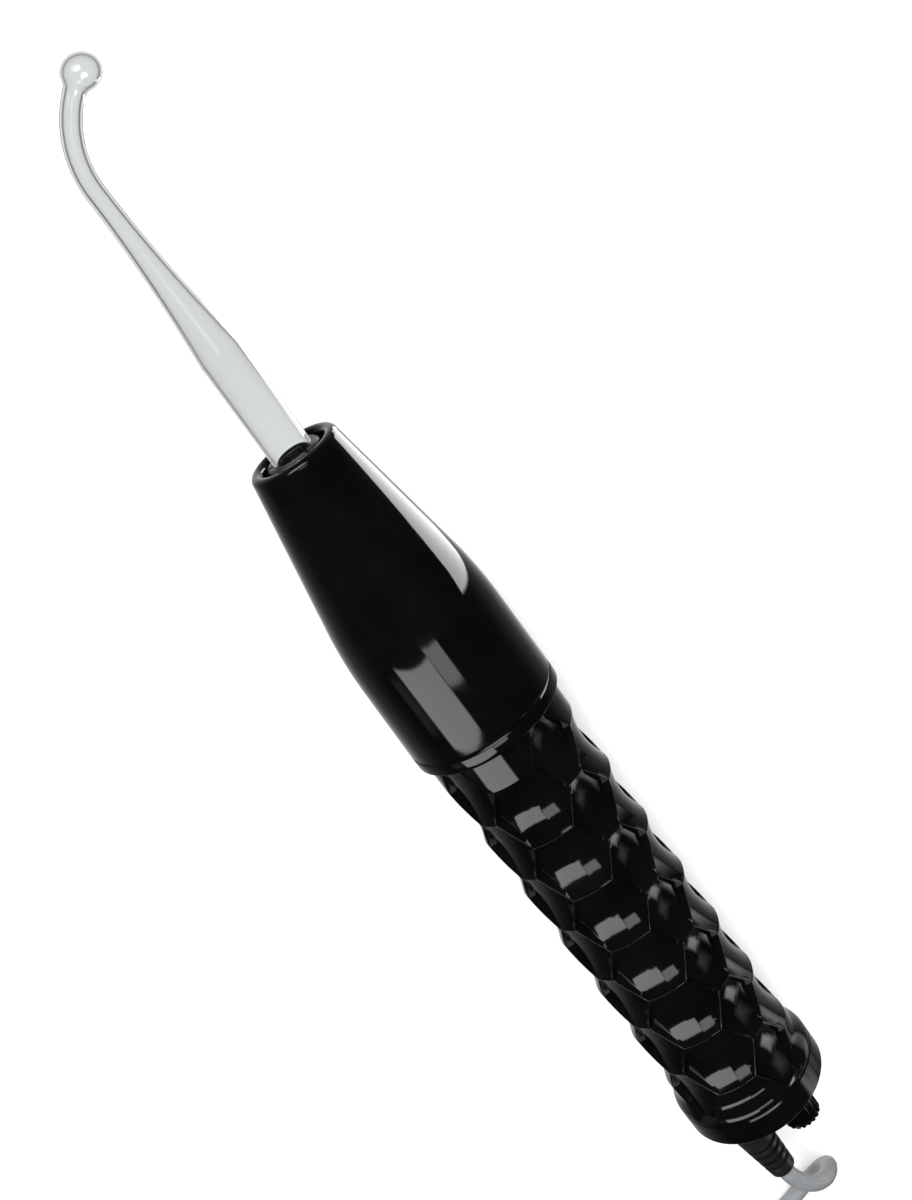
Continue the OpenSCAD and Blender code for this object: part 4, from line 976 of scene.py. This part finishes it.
class WAND_OT_stage(bpy.types.Operator):
    """Lay the pale table, hang the soft panels and the light, and set the white room"""
    bl_idname = "wand.stage"
    bl_label = "Table and lights"

    # Soft boxes that the polished shell mirrors, a metre off the barrel: name, limits of the direction's x,
    # limits of its angle above +Y in degrees, radiance, and the share of it that fades to its edge
    BOXES = (
        ("soft_box", (-0.53, -0.25), (26.5, 77), 3.5, 0.12),
        ("soft_bar", (-0.41, -0.21), (75, 99), 2.6, 0.15),
        ("soft_edge", (-0.50, -0.28), (10, 26), 0.2, 0.5),
        ("overhead", (0.06, 0.31), (79, 106), 2.5, 0.5),
        ("front_box", (0.50, 0.90), (48, 112), 3.6, 0.4),
    )
    # White and grey cards beside the wand: name, corners in millimetres, radiance, share that fades
    CARDS = (
        ("white_card", ((20, -60, 46), (110, -60, -20), (110, -60, -80), (20, -60, -50)), 6.0, 0.05),
        ("grey_card", ((-280, -160, 60), (-165, -160, 60), (-165, -160, 220), (-280, -160, 220)), 0.5, 1.0),
        ("end_card", ((-430, -160, 10), (-250, -160, 10), (-250, -160, 130), (-430, -160, 130)), 2.0, 0.7),
        ("low_card", ((-310, -160, -50), (-110, -160, -50), (-110, -160, 40), (-310, -160, 40)), 1.4, 1.0),
    )
    BARREL, TABLE_SIZE, TABLE_Z = Vector((0.014, 0, 0.0215)), 12, -0.0002
    KEY_PLACE, KEY_AIM, KEY_SIZE, KEY_POWER = Vector((1.1, 0.1, 1.3)), Vector((0, 0, 0.02)), 1.0, 40.0
    # What shell and glass mirror of the room, from straight down (0) to straight up (1): place and grey.
    # The room is black there, and the table brightens downwards
    ROOM = ((0.0, 1.0), (0.52, 0.012), (0.045, 0.82), (0.1, 0.5), (0.22, 0.2), (0.42, 0.05))

    def panel(self, name, corners, radiance, soft):
        """Hang a glowing panel that only mirrors see."""
        bpy.ops.mesh.primitive_plane_add(size=1, location=(0, 0, 0))
        made = bpy.context.object
        made.name = name
        for vertex, i in zip(made.data.vertices, (0, 1, 3, 2)):
            vertex.co = corners[i]
        glow = bpy.data.materials.new(name)
        tree = empty_tree(glow)
        place = node(tree, "TexCoord").outputs["UV"]
        parts = node(tree, "SeparateXYZ", {"Vector": place})
        offs = [node(tree, "Math", {0: parts.outputs[axis], 1: 0.5}, operation="SUBTRACT") for axis in "XY"]
        offs = [node(tree, "Math", {0: off}, operation="ABSOLUTE") for off in offs]
        far = node(tree, "Math", {0: offs[0], 1: offs[1]}, operation="MAXIMUM")
        fade = node(tree, "MapRange", {"Value": far, "From Min": 0.5, "From Max": 0.5 * (1 - soft),
                                       "To Max": radiance}, interpolation_type="SMOOTHSTEP")
        lit = node(tree, "Emission", {"Strength": fade})
        node(tree, "OutputMaterial", {"Surface": lit})
        made.data.materials.append(glow)
        made.visible_camera = made.visible_diffuse = False
        made.visible_transmission = made.visible_shadow = False

    def lay_table(self, context):
        """Lay the matt table, which shell and glass don't mirror."""
        clear_selection()
        bpy.ops.mesh.primitive_plane_add(size=self.TABLE_SIZE, location=(0, 0, self.TABLE_Z))
        table = context.object
        table.name = "table"
        white = tuple(context.scene.wand_colours.table)
        table.data.materials.append(mottled("matt_table_paint", white, "#F8F8F7", 60, (0.8, 0.9), 2, 0.01))
        table.visible_glossy = table.visible_transmission = False

    def hang_lights(self, context):
        """Hang the mirrored panels and the soft key light."""
        for name, (x0, x1), (a0, a1), radiance, soft in self.BOXES:
            corners = []
            for x, a in ((x0, a0), (x1, a0), (x1, a1), (x0, a1)):
                side, a = math.sqrt(1 - x * x), math.radians(a)
                corners.append(self.BARREL + Vector((x, side * math.cos(a), side * math.sin(a))))
            self.panel(name, corners, radiance, soft)
        for name, corners, radiance, soft in self.CARDS:
            self.panel(name, [Vector(corner) * MM for corner in corners], radiance, soft)
        bpy.ops.object.light_add(type="AREA", location=self.KEY_PLACE)
        key = context.object
        key.name = "key_box"
        key.rotation_mode = "QUATERNION"
        key.rotation_quaternion = (self.KEY_AIM - self.KEY_PLACE).to_track_quat("-Z", "Y")
        key.data.size, key.data.energy = self.KEY_SIZE, self.KEY_POWER
        key.visible_glossy = False

    def set_room(self, context):
        """Set the room, white to the eye and dark in the shell and the glass."""
        room = bpy.data.worlds.new("white_room")
        tree = empty_tree(room)
        place = node(tree, "TexCoord").outputs["Generated"]
        parts = node(tree, "SeparateXYZ", {"Vector": place})
        height = node(tree, "MapRange", {"Value": parts.outputs["Z"], "From Min": -1.0, "From Max": 1.0})
        grey = node(tree, "ValToRGB", {"Fac": height},
                    [(place, (level, level, level, 1)) for place, level in self.ROOM])
        path = node(tree, "LightPath").outputs
        bent = node(tree, "Math", {0: path["Is Glossy Ray"], 1: path["Is Transmission Ray"]},
                    operation="MAXIMUM")
        seen = node(tree, "MixRGB", {"Fac": bent, "Color1": (1, 1, 1, 1), "Color2": grey})
        glow = node(tree, "Background", {"Color": seen, "Strength": 1.0})
        node(tree, "OutputWorld", {"Surface": glow})
        context.scene.world = room
        context.scene.view_settings.view_transform = "Standard"

    def execute(self, context):
        self.lay_table(context)
        self.hang_lights(context)
        self.set_room(context)
        return {"FINISHED"}


STEPS = ("camera", "cord", "grip", "nose", "glass", "knob", "boot", "plug", "inside", "stage")


class WAND_PT_panel(bpy.types.Panel):
    """Sizes, colours and steps of the wand"""
    bl_idname = "WAND_PT_panel"
    bl_label = "Violet ray wand"
    bl_space_type = "VIEW_3D"
    bl_region_type = "UI"
    bl_category = "Wand"

    def draw(self, context):
        for group in (context.scene.wand_sizes, context.scene.wand_colours):
            for key in type(group).__annotations__:
                self.layout.prop(group, key)
        for step in STEPS:
            self.layout.operator(f"wand.{step}")


CLASSES = (WandSizes, WandColours, WAND_OT_camera, WAND_OT_cord, WAND_OT_grip, WAND_OT_nose, WAND_OT_glass,
           WAND_OT_knob, WAND_OT_boot, WAND_OT_plug, WAND_OT_inside, WAND_OT_stage, WAND_PT_panel)
FINISHES = {}


def register():
    """Register the classes and hang the settings on the scene."""
    for made in CLASSES:
        bpy.utils.register_class(made)
    bpy.types.Scene.wand_sizes = bpy.props.PointerProperty(type=WandSizes)
    bpy.types.Scene.wand_colours = bpy.props.PointerProperty(type=WandColours)


def unregister():
    """Take the settings and the classes away again."""
    del bpy.types.Scene.wand_sizes
    del bpy.types.Scene.wand_colours
    for made in reversed(CLASSES):
        bpy.utils.unregister_class(made)


def main():
    """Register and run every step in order."""
    register()
    FINISHES.update(make_finishes())
    for step in STEPS:
        getattr(bpy.ops.wand, step)()


if __name__ == "__main__":
    main()
